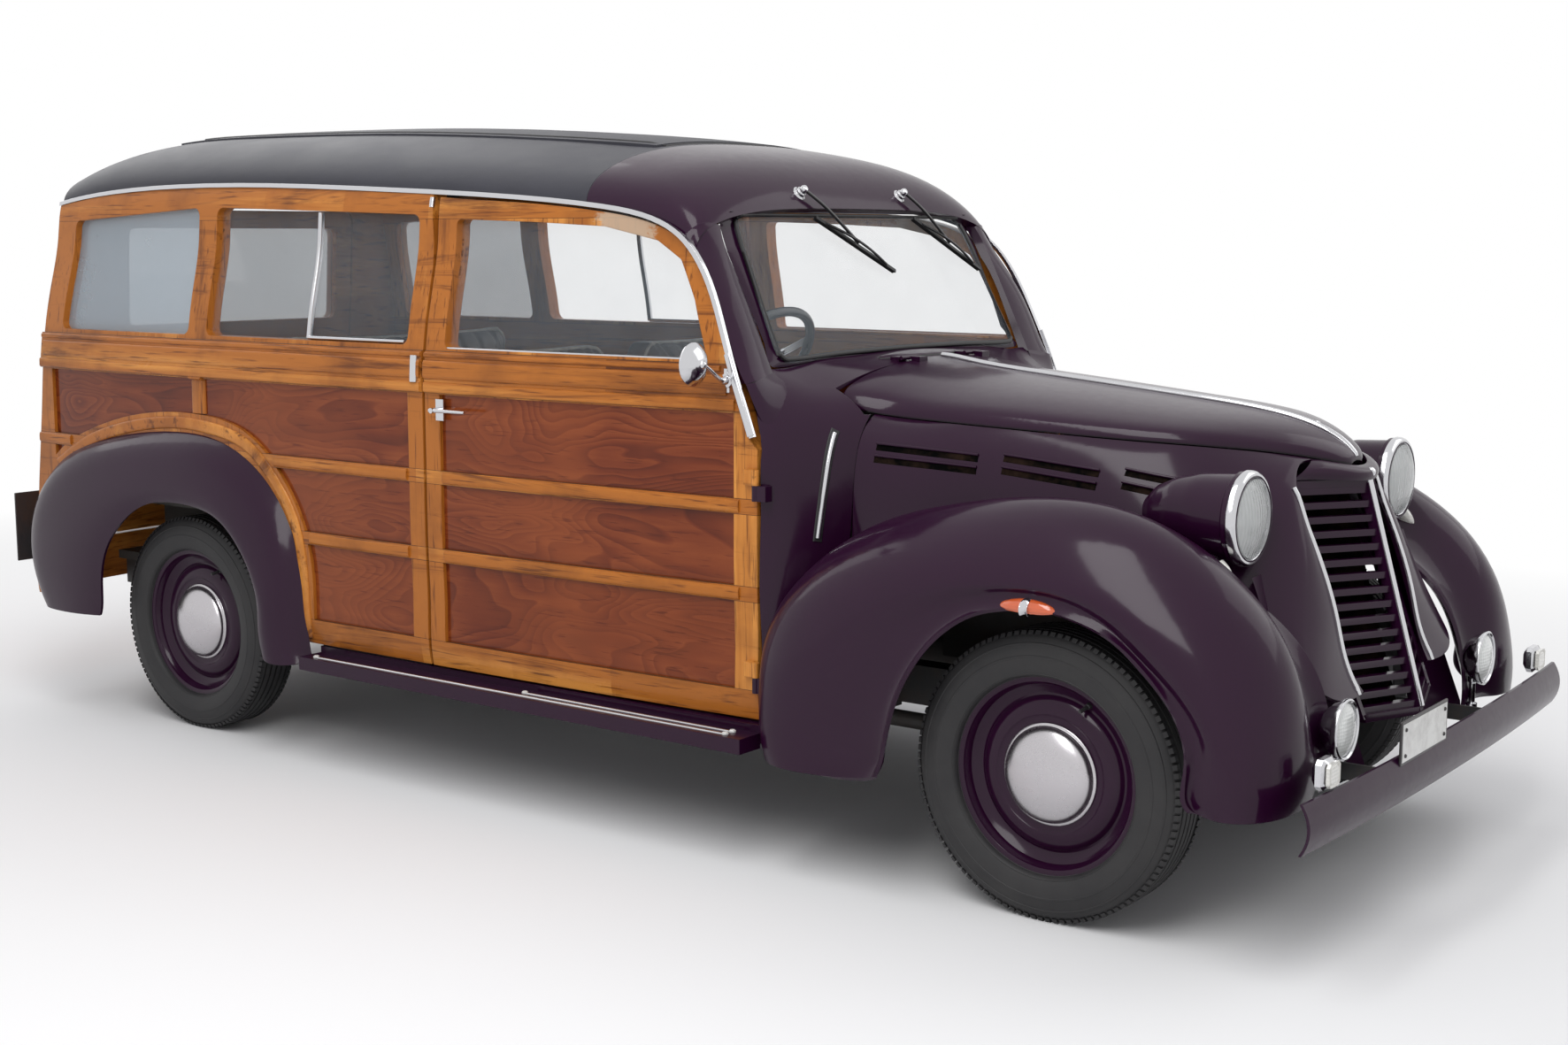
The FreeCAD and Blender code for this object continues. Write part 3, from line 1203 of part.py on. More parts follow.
def spring_nodes():
    """Leaf springs under the rear axle: arched packs with an eye at each end."""
    half = size["spring_half_length"]
    middle_y = size["rail_half_rear"]
    low = size["tyre_radius"] - size["axle_tube_radius"] - size["seat_gap"]
    depth, width = size["spring_thickness"], size["spring_width"]
    arch = size["axle_tube_radius"] * 1.4
    top = Part.Arc(
        Vector(rear_axle_x - half, middle_y - width / 2, low + arch),
        Vector(rear_axle_x, middle_y - width / 2, low),
        Vector(rear_axle_x + half, middle_y - width / 2, low + arch),
    ).toShape()
    foot = Part.Arc(
        Vector(rear_axle_x + half, middle_y - width / 2, low + arch - depth / 3),
        Vector(rear_axle_x, middle_y - width / 2, low - depth),
        Vector(rear_axle_x - half, middle_y - width / 2, low + arch - depth / 3),
    ).toShape()
    ends = [
        Part.makeLine(top.Vertexes[-1].Point, foot.Vertexes[0].Point),
        Part.makeLine(foot.Vertexes[-1].Point, top.Vertexes[0].Point),
    ]
    pack = Part.Face(Part.Wire(Part.__sortEdges__([top, foot] + ends))).extrude(Vector(0, width, 0))
    rail_foot = evaluate(RAIL_LEVEL) - size["rail_height"] / 2 - size["seat_gap"]
    for end in (-1, 1):
        low_end = low + arch - depth / 3
        shackle = Part.makeBox(depth, width, rail_foot - low_end)
        shackle_x = rear_axle_x + end * (half - depth / 2) - depth / 2
        shackle.translate(Vector(shackle_x, middle_y - width / 2, low_end))
        pack = pack.fuse(shackle)
    shaped("rear_springs", Part.makeCompound([pack, twin(pack)]))


def chassis_nodes():
    rear_stretch = "(wheelbase + rear_reach * 0.8 - rail_length_front)"
    front_middle = FRONT_AXLE + " + front_reach * 0.55 - rail_length_front / 2"
    rear_middle = REAR_AXLE + " - rear_reach * 0.8 + (%s + front_reach * 0.55) / 2" % rear_stretch
    rear_span = rear_stretch + " + front_reach * 0.55"
    pieces = []
    for name, sign in (("left", ""), ("right", "-")):
        pieces.append(block("rail_front_" + name,
                            (front_middle, sign + "rail_half_front", RAIL_LEVEL),
                            ("rail_length_front", "rail_width", "rail_height")))
        pieces.append(block("rail_rear_" + name,
                            (rear_middle, sign + "rail_half_rear", RAIL_LEVEL),
                            (rear_span, "rail_width", "rail_height")))
    joint = FRONT_AXLE + " + front_reach * 0.55 - rail_length_front"
    cross_places = (
        ("rear", REAR_AXLE + " - rear_reach * 0.8 + rail_width / 2", "rail_half_rear"),
        ("axle", REAR_AXLE + " + spring_half_length", "rail_half_rear"),
        ("joint", joint, "rail_half_rear"),
        ("front", FRONT_AXLE + " + front_reach * 0.55 - rail_width / 2", "rail_half_front"),
    )
    for name, station, half in cross_places:
        pieces.append(block("cross_" + name, (station, "0", RAIL_LEVEL + " + rail_height * 0.3"),
                            ("rail_width", "2 * %s + rail_width" % half, "rail_height * 0.4")))
    outer = "(half_width * 0.86)"
    for name, station in (("rear", 0.45), ("front", 0.68)):
        for side, sign in (("left", "1"), ("right", "-1")):
            span = outer + " - rail_half_front"
            pieces.append(block("outrigger_%s_%s" % (name, side),
                                ("%s + wheelbase * %g" % (REAR_AXLE, station),
                                 "%s * (%s + rail_half_front) / 2" % (sign, outer),
                                 "(%s - rail_height / 2)" % RAIL_LEVEL),
                                ("rail_width", span, "rail_height / 3")))
    inner_edge = "(half_width * %g - seat_gap)" % FRONT_FENDER_SIDE_SHARES[0]
    for side, sign in (("left", "1"), ("right", "-1")):
        pieces.append(block("fender_mount_" + side,
                            ("%s + wheelbase * %g" % (REAR_AXLE, FRONT_FENDER_SHARES[0][0][0]),
                             "%s * (%s + rail_half_front) / 2" % (sign, inner_edge),
                             "(%s - rail_height / 2)" % RAIL_LEVEL),
                            ("rail_width", inner_edge + " - rail_half_front", "rail_height / 3")))
    whole = joined("chassis_whole", pieces)
    arch = block("axle_arch", (REAR_AXLE, "0", "tyre_radius"),
                 ("axle_tube_radius * 4", "half_width * 2", "axle_tube_radius * 4"))
    trimmed = less("chassis_trimmed", whole, arch)
    sockets = []
    for name, sign in (("left", "1"), ("right", "-1")):
        sockets.append(rod("jack_" + name, (0, 0, -1),
                           (joint + " - rail_width * 2.5", sign + " * rail_half_rear",
                            RAIL_LEVEL + " - rail_height / 2 + jack_length"),
                           "jack_length * 2", "jack_radius"))
    node("chassis", less("chassis_whole_cut", trimmed, grouped("jack_sockets", sockets)))


def floor_nodes():
    floor_end = REAR_AXLE + " - rear_reach * 0.72"
    length = "(wheelbase * 0.738 + rear_reach * 0.72)"
    floor = block("floor_boards",
                  ("%s + %s / 2" % (floor_end, length), "0", "floor_level - floor_thickness / 2"),
                  (length, "floor_half * 2", "floor_thickness"))
    toe = block("toe_board", (REAR_AXLE + " + wheelbase * 0.738 - floor_thickness / 2", "0",
                              "floor_level + (roof_height * 0.60 - floor_level) / 2"),
                ("floor_thickness", "floor_half * 2", "roof_height * 0.60 - floor_level"))
    box_height = "(tyre_radius * 2 + wall - floor_level)"
    pieces = [floor, toe]
    for name, sign in (("left", "1"), ("right", "-1")):
        pieces.append(block("wheel_box_wall_" + name,
                            (REAR_AXLE, sign + " * (floor_half - floor_thickness / 2)",
                             "floor_level + %s / 2" % box_height),
                            ("tyre_radius * 2.3", "floor_thickness", box_height)))
        outer = "(half_width * 0.985 - wall)"
        pieces.append(block("wheel_box_top_" + name,
                            (REAR_AXLE, "%s * (floor_half - floor_thickness + %s) / 2" % (sign, outer),
                             "floor_level + %s - floor_thickness / 2" % box_height),
                            ("tyre_radius * 2.3", outer + " - floor_half + floor_thickness",
                             "floor_thickness")))
    for name, sign in (("left", "1"), ("right", "-1")):
        outer = "(half_width * 0.935 - wall)"
        pieces.append(block("floor_wing_" + name,
                            (REAR_AXLE + " + wheelbase * 0.47",
                             "%s * (floor_half + %s) / 2" % (sign, outer),
                             "floor_level - floor_thickness / 2"),
                            ("wheelbase * 0.50", outer + " - floor_half", "floor_thickness")))
    node("floor", joined("floor_whole", pieces))


def drive_nodes(rear_axle):
    engine_middle = FRONT_AXLE + " - engine_length * 0.45"
    engine = block("engine_whole", (engine_middle, "0", "engine_bottom + engine_height / 2"),
                   ("engine_length", "engine_width", "engine_height"))
    gear_start = engine_middle + " - engine_length / 2 - gearbox_length"
    gearbox = rod("gearbox_whole", (1, 0, 0), (gear_start, "0", "engine_bottom - gearbox_radius * 0.96"),
                  "gearbox_length + rail_width", "gearbox_radius")
    bearer = block("engine_bearer", (engine_middle, "0", RAIL_LEVEL + " + seat_gap"),
                   ("rail_width", "2 * (rail_half_front - rail_width / 2 - seat_gap)", "rail_height"))
    node("engine", joined("engine_with_gearbox", [engine, gearbox, bearer]))
    shaft_start = REAR_AXLE + " + differential_radius * 0.9"
    span = "(%s - (%s) - seat_gap)" % (gear_start, shaft_start)
    shaft = rod("propeller_shaft_whole", (1, 0, 0), (shaft_start, "0", "tyre_radius"), span, "shaft_radius")
    node("rear_axle", joined("rear_axle_with_tube", [rear_axle, shaft]))
    start = REAR_AXLE + " - rear_reach * 0.9"
    pipe = rod("pipe", (1, 0, 0), (start, "-pipe_offset", "pipe_level"),
               "wheelbase * 0.85 + rear_reach * 0.9", "pipe_radius")
    muffler = rod("muffler", (1, 0, 0), (REAR_AXLE + " + wheelbase * 0.30", "-pipe_offset", "pipe_level"),
                  "muffler_length", "muffler_radius")
    riser = rod("pipe_riser", (0, 0, 1),
                (REAR_AXLE + " + wheelbase * 0.85 - pipe_radius", "-pipe_offset", "pipe_level"),
                "engine_bottom - pipe_level - seat_gap", "pipe_radius")
    node("exhaust", joined("exhaust_whole", [pipe, muffler, riser]))
    tank_station = REAR_AXLE + " - differential_radius - axle_tube_radius - tank_length / 2"
    tank = block("tank_whole",
                 (tank_station, "0", "floor_level - floor_thickness - seat_gap - tank_height / 2"),
                 ("tank_length", "tank_width", "tank_height"))
    node("fuel_tank", tank)


# Cabin.
def cabin_nodes():
    front_station = REAR_AXLE + " + wheelbase * 0.475"
    seats, bases = [], []
    for name, sign in (("left", "1"), ("right", "-1")):
        middle_y = sign + " * seat_spacing"
        cushion = block("seat_cushion_" + name,
                        (front_station, middle_y, "cushion_level + cushion_height / 2"),
                        ("seat_length", "seat_width", "cushion_height"))
        back = block("seat_back_" + name,
                     (front_station + " - seat_length / 2 - backrest_thickness / 2", middle_y,
                      "cushion_level + (cushion_height + backrest_height) / 2"),
                     ("backrest_thickness", "seat_width", "cushion_height + backrest_height"))
        seats += [joined("front_seat_" + name, [cushion, back])]
        base = block("seat_base_" + name,
                     (front_station, middle_y, "(cushion_level + floor_level) / 2"),
                     ("seat_length * 0.9", "seat_width * 0.8",
                      "cushion_level - floor_level - 2 * seat_gap"))
        bases.append(base)
    node("front_seats", grouped("front_seat_pair", seats))
    rear_station = REAR_AXLE + " + wheelbase * 0.155"
    cushion = block("bench_cushion", (rear_station, "0", "cushion_level + cushion_height / 2"),
                    ("seat_length", "floor_half * 2 - 4 * floor_thickness", "cushion_height"))
    back = block("bench_back",
                 (rear_station + " - seat_length / 2 - backrest_thickness / 2", "0",
                  "cushion_level + (cushion_height + backrest_height) / 2"),
                 ("backrest_thickness", "floor_half * 2 - 4 * floor_thickness",
                  "cushion_height + backrest_height"))
    node("rear_seat", joined("rear_bench", [cushion, back]))
    base = block("bench_base_whole", (rear_station, "0", "(cushion_level + floor_level) / 2"),
                 ("seat_length * 0.9", "floor_half * 1.6", "cushion_level - floor_level - 2 * seat_gap"))
    node("seat_bases", grouped("seat_base_set", bases + [base]))
    dash = block("dash_whole",
                 (REAR_AXLE + " + wheelbase * 0.738 - floor_thickness - seat_gap - dash_depth / 2", "0",
                  "roof_height * 0.60 - dash_height / 2"),
                 ("dash_depth", "dash_half * 2", "dash_height"))
    node("dashboard", dash)


def steering_nodes():
    """Steering column through the toe board and the wheel on its end."""
    tilt = math.radians(size["column_angle"])
    down = Vector(math.cos(tilt), 0, -math.sin(tilt))
    hub = place(0.622, -0.471, 0.622)
    radius, section = size["steering_rim_radius"], size["steering_rim_section"]
    hub_length = section * 5
    rim = Part.makeTorus(radius, section, hub, down)
    boss = Part.makeCylinder(section * 2.4, hub_length, hub - down * hub_length / 2, down)
    spokes = []
    for index in range(3):
        turn = FreeCAD.Rotation(down, 90 + index * 120)
        spoke = turn.multVec(Vector(0, 1, 0))
        spokes.append(Part.makeCylinder(section / 2, radius, hub, spoke))
    wheel = rim.fuse([boss] + spokes)
    shaped("steering_wheel", wheel)
    start = hub + down * (hub_length / 2 + size["seat_gap"])
    end_x = along(0.738) - size["floor_thickness"] - size["dash_depth"] - size["seat_gap"] * 2
    reach = (end_x - start.x) / down.x - size["column_radius"] * math.tan(tilt)
    shaped("steering_column", Part.makeCylinder(size["column_radius"], reach, start, down))
    return hub, down


# Lamps, bumper, plates and small outside parts: rows are (share of radius, share of length).
LAMP_SHARES = (
    (0.0, -1.0), (0.30, -0.97), (0.58, -0.86), (0.78, -0.68), (0.90, -0.45), (0.94, -0.12),
    (1.0, -0.10), (1.0, 0.0), (0.90, 0.03), (0.86, -0.02), (0.0, -0.02),
)
LENS_SHARES = (
    (0.0, 0.11), (0.30, 0.10), (0.60, 0.07), (0.85, 0.03), (0.85, -0.0187), (0.60, 0.045),
    (0.0, 0.08),
)
FOG_SHARES = (
    (0.0, -1.0), (0.5, -0.9), (0.85, -0.55), (1.0, -0.2), (1.0, 0.0), (0.6, 0.18), (0.0, 0.25),
)


def lamp_nodes(nose_bulk):
    front = place(1.115, 0, 0).x
    radius, length = size["lamp_radius"], size["lamp_length"]
    middle = Vector(front, size["lamp_half"], size["lamp_level"])
    shell = turned_shape([(side * radius, deep * length) for side, deep in LAMP_SHARES], middle)
    lens = turned_shape([(side * radius, deep * length) for side, deep in LENS_SHARES], middle)
    shaped("headlamp_lenses", Part.makeCompound([lens, twin(lens)]))
    shell = seated(shell.cut(nose_bulk), "front_fenders", "headlamp_lenses")
    shaped("headlamps", Part.makeCompound([shell, twin(shell)]))
    fog_middle = Vector(along(1.193), size["fog_half"], size["fog_level"])
    fog = turned_shape(
        [(side * size["fog_radius"], deep * size["fog_depth"]) for side, deep in FOG_SHARES], fog_middle
    )
    stalk = Part.makeCylinder(
        size["mirror_arm_radius"] * 2, size["fog_level"] - size["bumper_level"] + size["overrun"],
        Vector(fog_middle.x - size["fog_depth"] / 2, fog_middle.y, size["bumper_level"] - size["overrun"]),
        Vector(0, 0, 1),
    )
    fog = seated(fog.fuse(stalk), "front_fenders", "front_bumper")
    shaped("fog_lamps", Part.makeCompound([fog, twin(fog)]))


def turned_shape(outline, middle):
    """Solid turned about the X direction through middle; rows are (radius, place along X)."""
    points = [Vector(middle.x + deep, middle.y, middle.z + side) for side, deep in outline]
    face = Part.Face(Part.makePolygon(points + points[:1]))
    return face.revolve(middle, Vector(1, 0, 0), 360)


def bumper_x(side_share):
    return along(1) + size["front_reach"] - size["bumper_sweep"] * abs(side_share) ** 2.2


def bumper_nodes():
    rows_outer, rows_inner = [], []
    for side in spread(-1, 1, 13):
        outer, inner = [], []
        for level in spread(-1, 1, 5):
            depth = size["bumper_crown"] * level**2
            spot = Vector(bumper_x(side) - depth, size["bumper_half"] * side,
                          size["bumper_level"] + size["bumper_height"] / 2 * level)
            outer.append(spot)
            inner.append(spot - Vector(size["bumper_thickness"], 0, 0))
        rows_outer.append(outer)
        rows_inner.append(inner)
    blade = solid_between(rows_outer, rows_inner)
    start = front_axle_x + size["front_reach"] * 0.55 + size["seat_gap"]
    irons = []
    side_share = size["rail_half_front"] / size["bumper_half"]
    crown = size["bumper_crown"] * (size["iron_width"] / size["bumper_height"]) ** 2
    end = bumper_x(side_share) - size["bumper_thickness"] - crown - 2 * size["seat_gap"]
    for sign in (1, -1):
        iron = Part.makeBox(end - start, size["iron_thickness"], size["iron_width"])
        iron.translate(Vector(start, sign * size["rail_half_front"] - size["iron_thickness"] / 2,
                              size["bumper_level"] - size["iron_width"] / 2))
        irons.append(iron)
    shaped("front_bumper", blade)
    shaped("bumper_irons", Part.makeCompound(irons))


def small_nodes():
    signal_x = bumper_x(size["signal_half"] / size["bumper_half"]) - size["bumper_crown"]
    signal = Part.makeBox(size["signal_depth"], size["signal_width"], size["signal_height"])
    signal.translate(Vector(signal_x - size["signal_depth"], size["signal_half"] - size["signal_width"] / 2,
                            size["bumper_level"] + size["bumper_height"] / 2 + size["seat_gap"]))
    signal = seated(signal, "front_fenders")
    shaped("signal_lamps", Part.makeCompound([signal, twin(signal)]))
    hole = size["plate_hole_radius"]
    plate = Part.makeBox(size["plate_thickness"], size["plate_width"], size["plate_height"])
    corner = Vector(along(1) + size["front_reach"] - size["bumper_crown"] * 2 - size["plate_thickness"],
                    -across(0.30) - size["plate_width"] / 2,
                    size["bumper_level"] + size["bumper_height"] / 2 + size["seat_gap"])
    plate.translate(corner)
    for share in (0.12, 0.88):
        plate = plate.cut(Part.makeCylinder(
            hole, size["overrun"],
            corner + Vector(-size["overrun"] / 2, size["plate_width"] * share, size["plate_height"] / 2),
            Vector(1, 0, 0)))
    bracket = Part.makeBox(size["bumper_sweep"] * 1.3, size["plate_width"] / 3, size["bumper_crown"])
    bracket.translate(corner + Vector(0, size["plate_width"] / 3, -size["bumper_crown"]))
    return seated(plate.fuse(bracket), "front_bumper", "bumper_irons")


def strip_nodes():
    rows_outer, rows_inner = [], []
    for station, crown in [(row[0], row[3]) for row in HOOD_SHARES]:
        outer, inner = [], []
        for side in (-0.5, 0, 0.5):
            spot = Vector(along(station), side * size["strip_width"], height(crown) + size["seat_gap"])
            inner.append(spot)
            outer.append(spot + Vector(0, 0, size["strip_height"] * (1 - 2 * abs(side) * 0.7)))
        rows_outer.append(outer)
        rows_inner.append(inner)
    shaped("hood_strip", seated(solid_between(rows_outer, rows_inner), "hood"))


BOARD_REAR_SHARE = 0.205
BOARD_FRONT_SHARE = 0.742


def board_nodes():
    face = side_y(0.5, 0.19)
    length = (BOARD_FRONT_SHARE - BOARD_REAR_SHARE) * size["wheelbase"]
    board = Part.makeBox(length, size["board_width"], size["board_height"])
    board_foot = size["board_level"] - size["board_height"] / 2
    board.translate(Vector(along(BOARD_REAR_SHARE), face + size["seat_gap"], board_foot))
    inner_face = across(0.86) + size["seat_gap"]
    sill = Part.makeBox(length, face - inner_face, size["sill_height"])
    sill_top = height(SILL_SHARE) - size["door_gap"]
    sill.translate(Vector(along(BOARD_REAR_SHARE), inner_face, sill_top - size["sill_height"]))
    seat_end = along(DOOR_REAR_SHARE) - size["post_width"] / 2
    seat_length = seat_end - along(BOARD_REAR_SHARE)
    seat = Part.makeBox(seat_length, size["wall"] * 0.8, size["door_gap"] - size["seat_gap"])
    seat.translate(Vector(along(BOARD_REAR_SHARE), face - size["wall"], sill_top))
    joint = Part.makeBox(length, size["seat_gap"] * 3, size["board_height"] / 3)
    joint.translate(Vector(along(BOARD_REAR_SHARE), face - size["seat_gap"], size["board_level"]))
    both = seated(
        board.fuse([sill, seat, joint]), "body_side_left", "rear_fenders", "front_fenders", "cowl"
    )
    shaped("running_boards", Part.makeCompound([both, twin(both)]))


def mirror_node():
    face = side_y(0.715, 0.60)
    middle = Vector(along(0.7015), -face - size["mirror_reach"], height(0.658))
    head = Part.makeCylinder(size["mirror_radius"], size["mirror_depth"], middle, Vector(1, 0, 0))
    foot = Vector(along(0.699), -side_y(0.699, 0.612), height(0.612))
    arm_end = middle + Vector(size["mirror_depth"] / 2, 0, 0)
    reach = arm_end - foot
    arm = Part.makeCylinder(size["mirror_arm_radius"], reach.Length, foot, reach)
    shaped("mirror", seated(head.fuse(arm), "door_right"))


def tail_nodes(front_plate):
    x_face = rear_x(TAIL_SIDE_SHARE, TAIL_LEVEL_SHARE, side_y(REAR_LINE_SHARES[2][1], TAIL_LEVEL_SHARE))
    start = Vector(x_face - size["tail_depth"], across(TAIL_SIDE_SHARE), height(TAIL_LEVEL_SHARE))
    lamp = Part.makeCylinder(size["tail_radius"], size["tail_depth"] * 2, start, Vector(1, 0, 0))
    lamp = seated(lamp, "rear_frame", "body_side_left", "side_panels")
    shaped("tail_lamps", Part.makeCompound([lamp, twin(lamp)]))
    x_plate = along(0) - size["rear_reach"]
    corner = Vector(x_plate, -across(TAIL_SIDE_SHARE) - size["rear_plate_width"] / 2, height(0.24))
    plate = Part.makeBox(
        size["plate_thickness"], size["rear_plate_width"], size["rear_plate_height"], corner
    )
    arm_width = size["iron_width"]
    arm_corner = corner + Vector(0, size["rear_plate_width"] / 2, size["rear_plate_height"] / 2)
    arm = Part.makeBox(size["rear_reach"] / 4, arm_width, arm_width, arm_corner)
    plate = seated(plate.fuse(arm), "rear_frame", "body_side_right", "tail_lamps", "rear_fenders")
    shaped("number_plates", Part.makeCompound([front_plate, plate]))


TAIL_SIDE_SHARE = 0.89
TAIL_LEVEL_SHARE = 0.385

roof_nodes()
nose_bulk, cowl_bulk = front_nodes()
body_side_nodes(windscreen_nodes())
door_nodes()
gutter_nodes()
rear_nodes()
fender_nodes(nose_bulk, cowl_bulk)
grille_nodes()
wheel_nodes()
rear_axle = running_gear_nodes()
spring_nodes()
chassis_nodes()
floor_nodes()
drive_nodes(rear_axle)
cabin_nodes()
steering_nodes()
bumper_nodes()
lamp_nodes(nose_bulk)
front_plate = small_nodes()
strip_nodes()
board_nodes()
mirror_node()
tail_nodes(front_plate)

document.recompute()
for item in document.Objects:
    if "Invalid" in item.State or "Error" in item.State:
        raise RuntimeError("failed object: " + item.Label)
os.makedirs("parts", exist_ok=True)
for item in nodes:
    if item.Shape.isNull() or not item.Shape.isValid():
        raise RuntimeError("bad shape: " + item.Label)
    item.Shape.exportStep("parts/%s.step" % item.Label)
    solids = item.Shape.Solids
    print("%-22s %2d solids %10.0f mm3" % (item.Label, len(solids), item.Shape.Volume))
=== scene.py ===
"""Looks of a wood-bodied station wagon: finishes, lamps, tyres, trim and cabin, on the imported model."""

import math

import bpy
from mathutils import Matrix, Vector
from mathutils.bvhtree import BVHTree


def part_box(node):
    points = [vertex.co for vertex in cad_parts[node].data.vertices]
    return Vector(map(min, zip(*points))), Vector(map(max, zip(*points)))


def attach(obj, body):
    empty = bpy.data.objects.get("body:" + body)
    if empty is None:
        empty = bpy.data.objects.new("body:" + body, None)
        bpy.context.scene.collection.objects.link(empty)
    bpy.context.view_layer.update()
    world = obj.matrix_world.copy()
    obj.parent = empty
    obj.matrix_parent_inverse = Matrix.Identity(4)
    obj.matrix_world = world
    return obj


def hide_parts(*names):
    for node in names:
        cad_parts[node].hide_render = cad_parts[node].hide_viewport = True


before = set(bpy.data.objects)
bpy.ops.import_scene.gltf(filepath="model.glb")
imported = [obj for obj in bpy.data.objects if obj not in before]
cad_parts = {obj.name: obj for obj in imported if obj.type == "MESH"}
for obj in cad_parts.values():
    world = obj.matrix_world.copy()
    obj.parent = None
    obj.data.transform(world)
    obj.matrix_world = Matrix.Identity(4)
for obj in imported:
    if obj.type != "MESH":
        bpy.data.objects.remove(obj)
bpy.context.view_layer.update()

# Driving sizes of the car in metres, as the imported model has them.
REAR_AXLE = -1.2575
WHEELBASE = 2.700
HALF_WIDTH = 0.700
ROOF = 1.665
MILLIMETRE = 0.001
BELT_LOW = 0.594 * ROOF
BELT_HIGH = 0.655 * ROOF
RIB_LEVELS = (0.470 * ROOF, 0.354 * ROOF)
RIB_HEIGHT = 0.034
DOOR_BACK = REAR_AXLE + 0.3648 * WHEELBASE
SIDES = (("left", 1), ("right", -1))
AHEAD, BEHIND, UP = Vector((1, 0, 0)), Vector((-1, 0, 0)), Vector((0, 0, 1))


def along(share):
    return REAR_AXLE + share * WHEELBASE


def level(share):
    return share * ROOF


# Node trees of the materials.
class Finish:
    """A material with its node tree, built by short calls."""

    def __init__(self, name, colour, roughness, **sockets):
        self.material = bpy.data.materials.new(name)
        self.material.use_nodes = True
        self.tree = self.material.node_tree
        self.shader = self.tree.nodes["Principled BSDF"]
        self.shader.inputs["Base Color"].default_value = (*colour, 1)
        self.shader.inputs["Roughness"].default_value = roughness
        for key, value in sockets.items():
            self.shader.inputs[key.replace("_", " ")].default_value = value

    def node(self, kind, inputs=(), **settings):
        item = self.tree.nodes.new("ShaderNode" + kind)
        for key, value in settings.items():
            setattr(item, key, value)
        for key, value in dict(inputs).items():
            if isinstance(value, bpy.types.NodeSocket):
                self.tree.links.new(value, item.inputs[key])
            else:
                item.inputs[key].default_value = value
        return item

    def math(self, operation, first, second=0.0, third=0.0):
        return self.node("Math", {0: first, 1: second, 2: third}, operation=operation).outputs[0]

    def scaled(self, value, factor, shift):
        return self.math("MULTIPLY_ADD", value, factor, shift)

    def distance(self, value, middle):
        return self.math("ABSOLUTE", self.math("SUBTRACT", value, middle))

    def place(self, stretch=(1, 1, 1)):
        """Object coordinates, in metres, stretched."""
        source = self.node("TexCoord").outputs["Object"]
        return self.node("Mapping", {"Vector": source, "Scale": stretch}).outputs[0]

    def axis(self, letter, stretch=(1, 1, 1)):
        return self.node("SeparateXYZ", {0: self.place(stretch)}).outputs[letter]

    def waves(self, letter, per_metre):
        return self.math("SINE", self.math("MULTIPLY", self.axis(letter), per_metre))

    def noise(self, scale, detail=4.0, roughness=0.5, distortion=0.0, stretch=(1, 1, 1)):
        return self.node("TexNoise", {
            "Vector": self.place(stretch), "Scale": scale, "Detail": detail, "Roughness": roughness,
            "Distortion": distortion,
        }).outputs["Fac"]

    def cells(self, scale):
        inputs = {"Vector": self.place(), "Scale": scale}
        return self.node("TexVoronoi", inputs, feature="F1").outputs["Distance"]

    def ramp(self, value, *stops):
        item = self.node("ValToRGB", {"Fac": value})
        points = item.color_ramp.elements
        while len(points) < len(stops):
            points.new(0.5)
        for point, (place, colour) in zip(points, stops):
            point.position = place
            point.color = (*colour, 1) if hasattr(colour, "__len__") else (colour, colour, colour, 1)
        return item.outputs["Color"]

    def mix(self, factor, first, second):
        item = self.node("Mix", data_type="RGBA")
        for key, value in zip((0, 6, 7), (factor, first, second)):
            if isinstance(value, bpy.types.NodeSocket):
                self.tree.links.new(value, item.inputs[key])
            else:
                item.inputs[key].default_value = (*value, 1)
        return item.outputs[2]

    def choose(self, factor, first, second):
        return self.node("Mix", {0: factor, 2: first, 3: second}, data_type="FLOAT").outputs[0]

    def cover(self, colour, over, value, *stops):
        """Lays one colour over another, as thick as a ramp of the value says."""
        return self.mix(self.ramp(value, *stops), colour, over)

    def colour(self, socket):
        self.tree.links.new(socket, self.shader.inputs["Base Color"])

    def roughness(self, value, factor, shift):
        self.tree.links.new(self.scaled(value, factor, shift), self.shader.inputs["Roughness"])

    def bump(self, height, strength, depth, rounding=0.0):
        """Bump of a depth, on a normal that rounds edges by a radius, both in millimetres."""
        inputs = {"Height": height, "Strength": strength, "Distance": depth * MILLIMETRE}
        if rounding:
            radius = {"Radius": rounding * MILLIMETRE}
            inputs["Normal"] = self.node("Bevel", radius, samples=4).outputs["Normal"]
        normal = self.node("Bump", inputs).outputs["Normal"]
        self.tree.links.new(normal, self.shader.inputs["Normal"])
        return self.material


def toned(colour, factor):
    return tuple(part * factor for part in colour)


def paint(name, colour):
    """Deep gloss lacquer with a faint orange peel and a little dust."""
    look = Finish(name, colour, 0.34, Coat_Weight=0.45, Coat_Roughness=0.12, Specular_IOR_Level=0.05)
    look.colour(look.mix(look.noise(3.0, 3.0), toned(colour, 0.85), toned(colour, 1.18)))
    look.roughness(look.noise(40.0, 5.0, 0.6), 0.10, 0.29)
    return look.bump(look.noise(260.0, 2.0), 0.03, 0.5, 2.5)


def metal(name, colour, roughness, brushed=0.0):
    """Plated metal with fine scratches and cloudy wear."""
    look = Finish(name, colour, roughness, Metallic=1.0)
    look.roughness(look.noise(18.0, 5.0, 0.6), 0.16, roughness - 0.06)
    return look.bump(look.noise(1.0, 3.0, stretch=(90, 90, 900)), 0.04 + brushed, 0.2, 1.2)


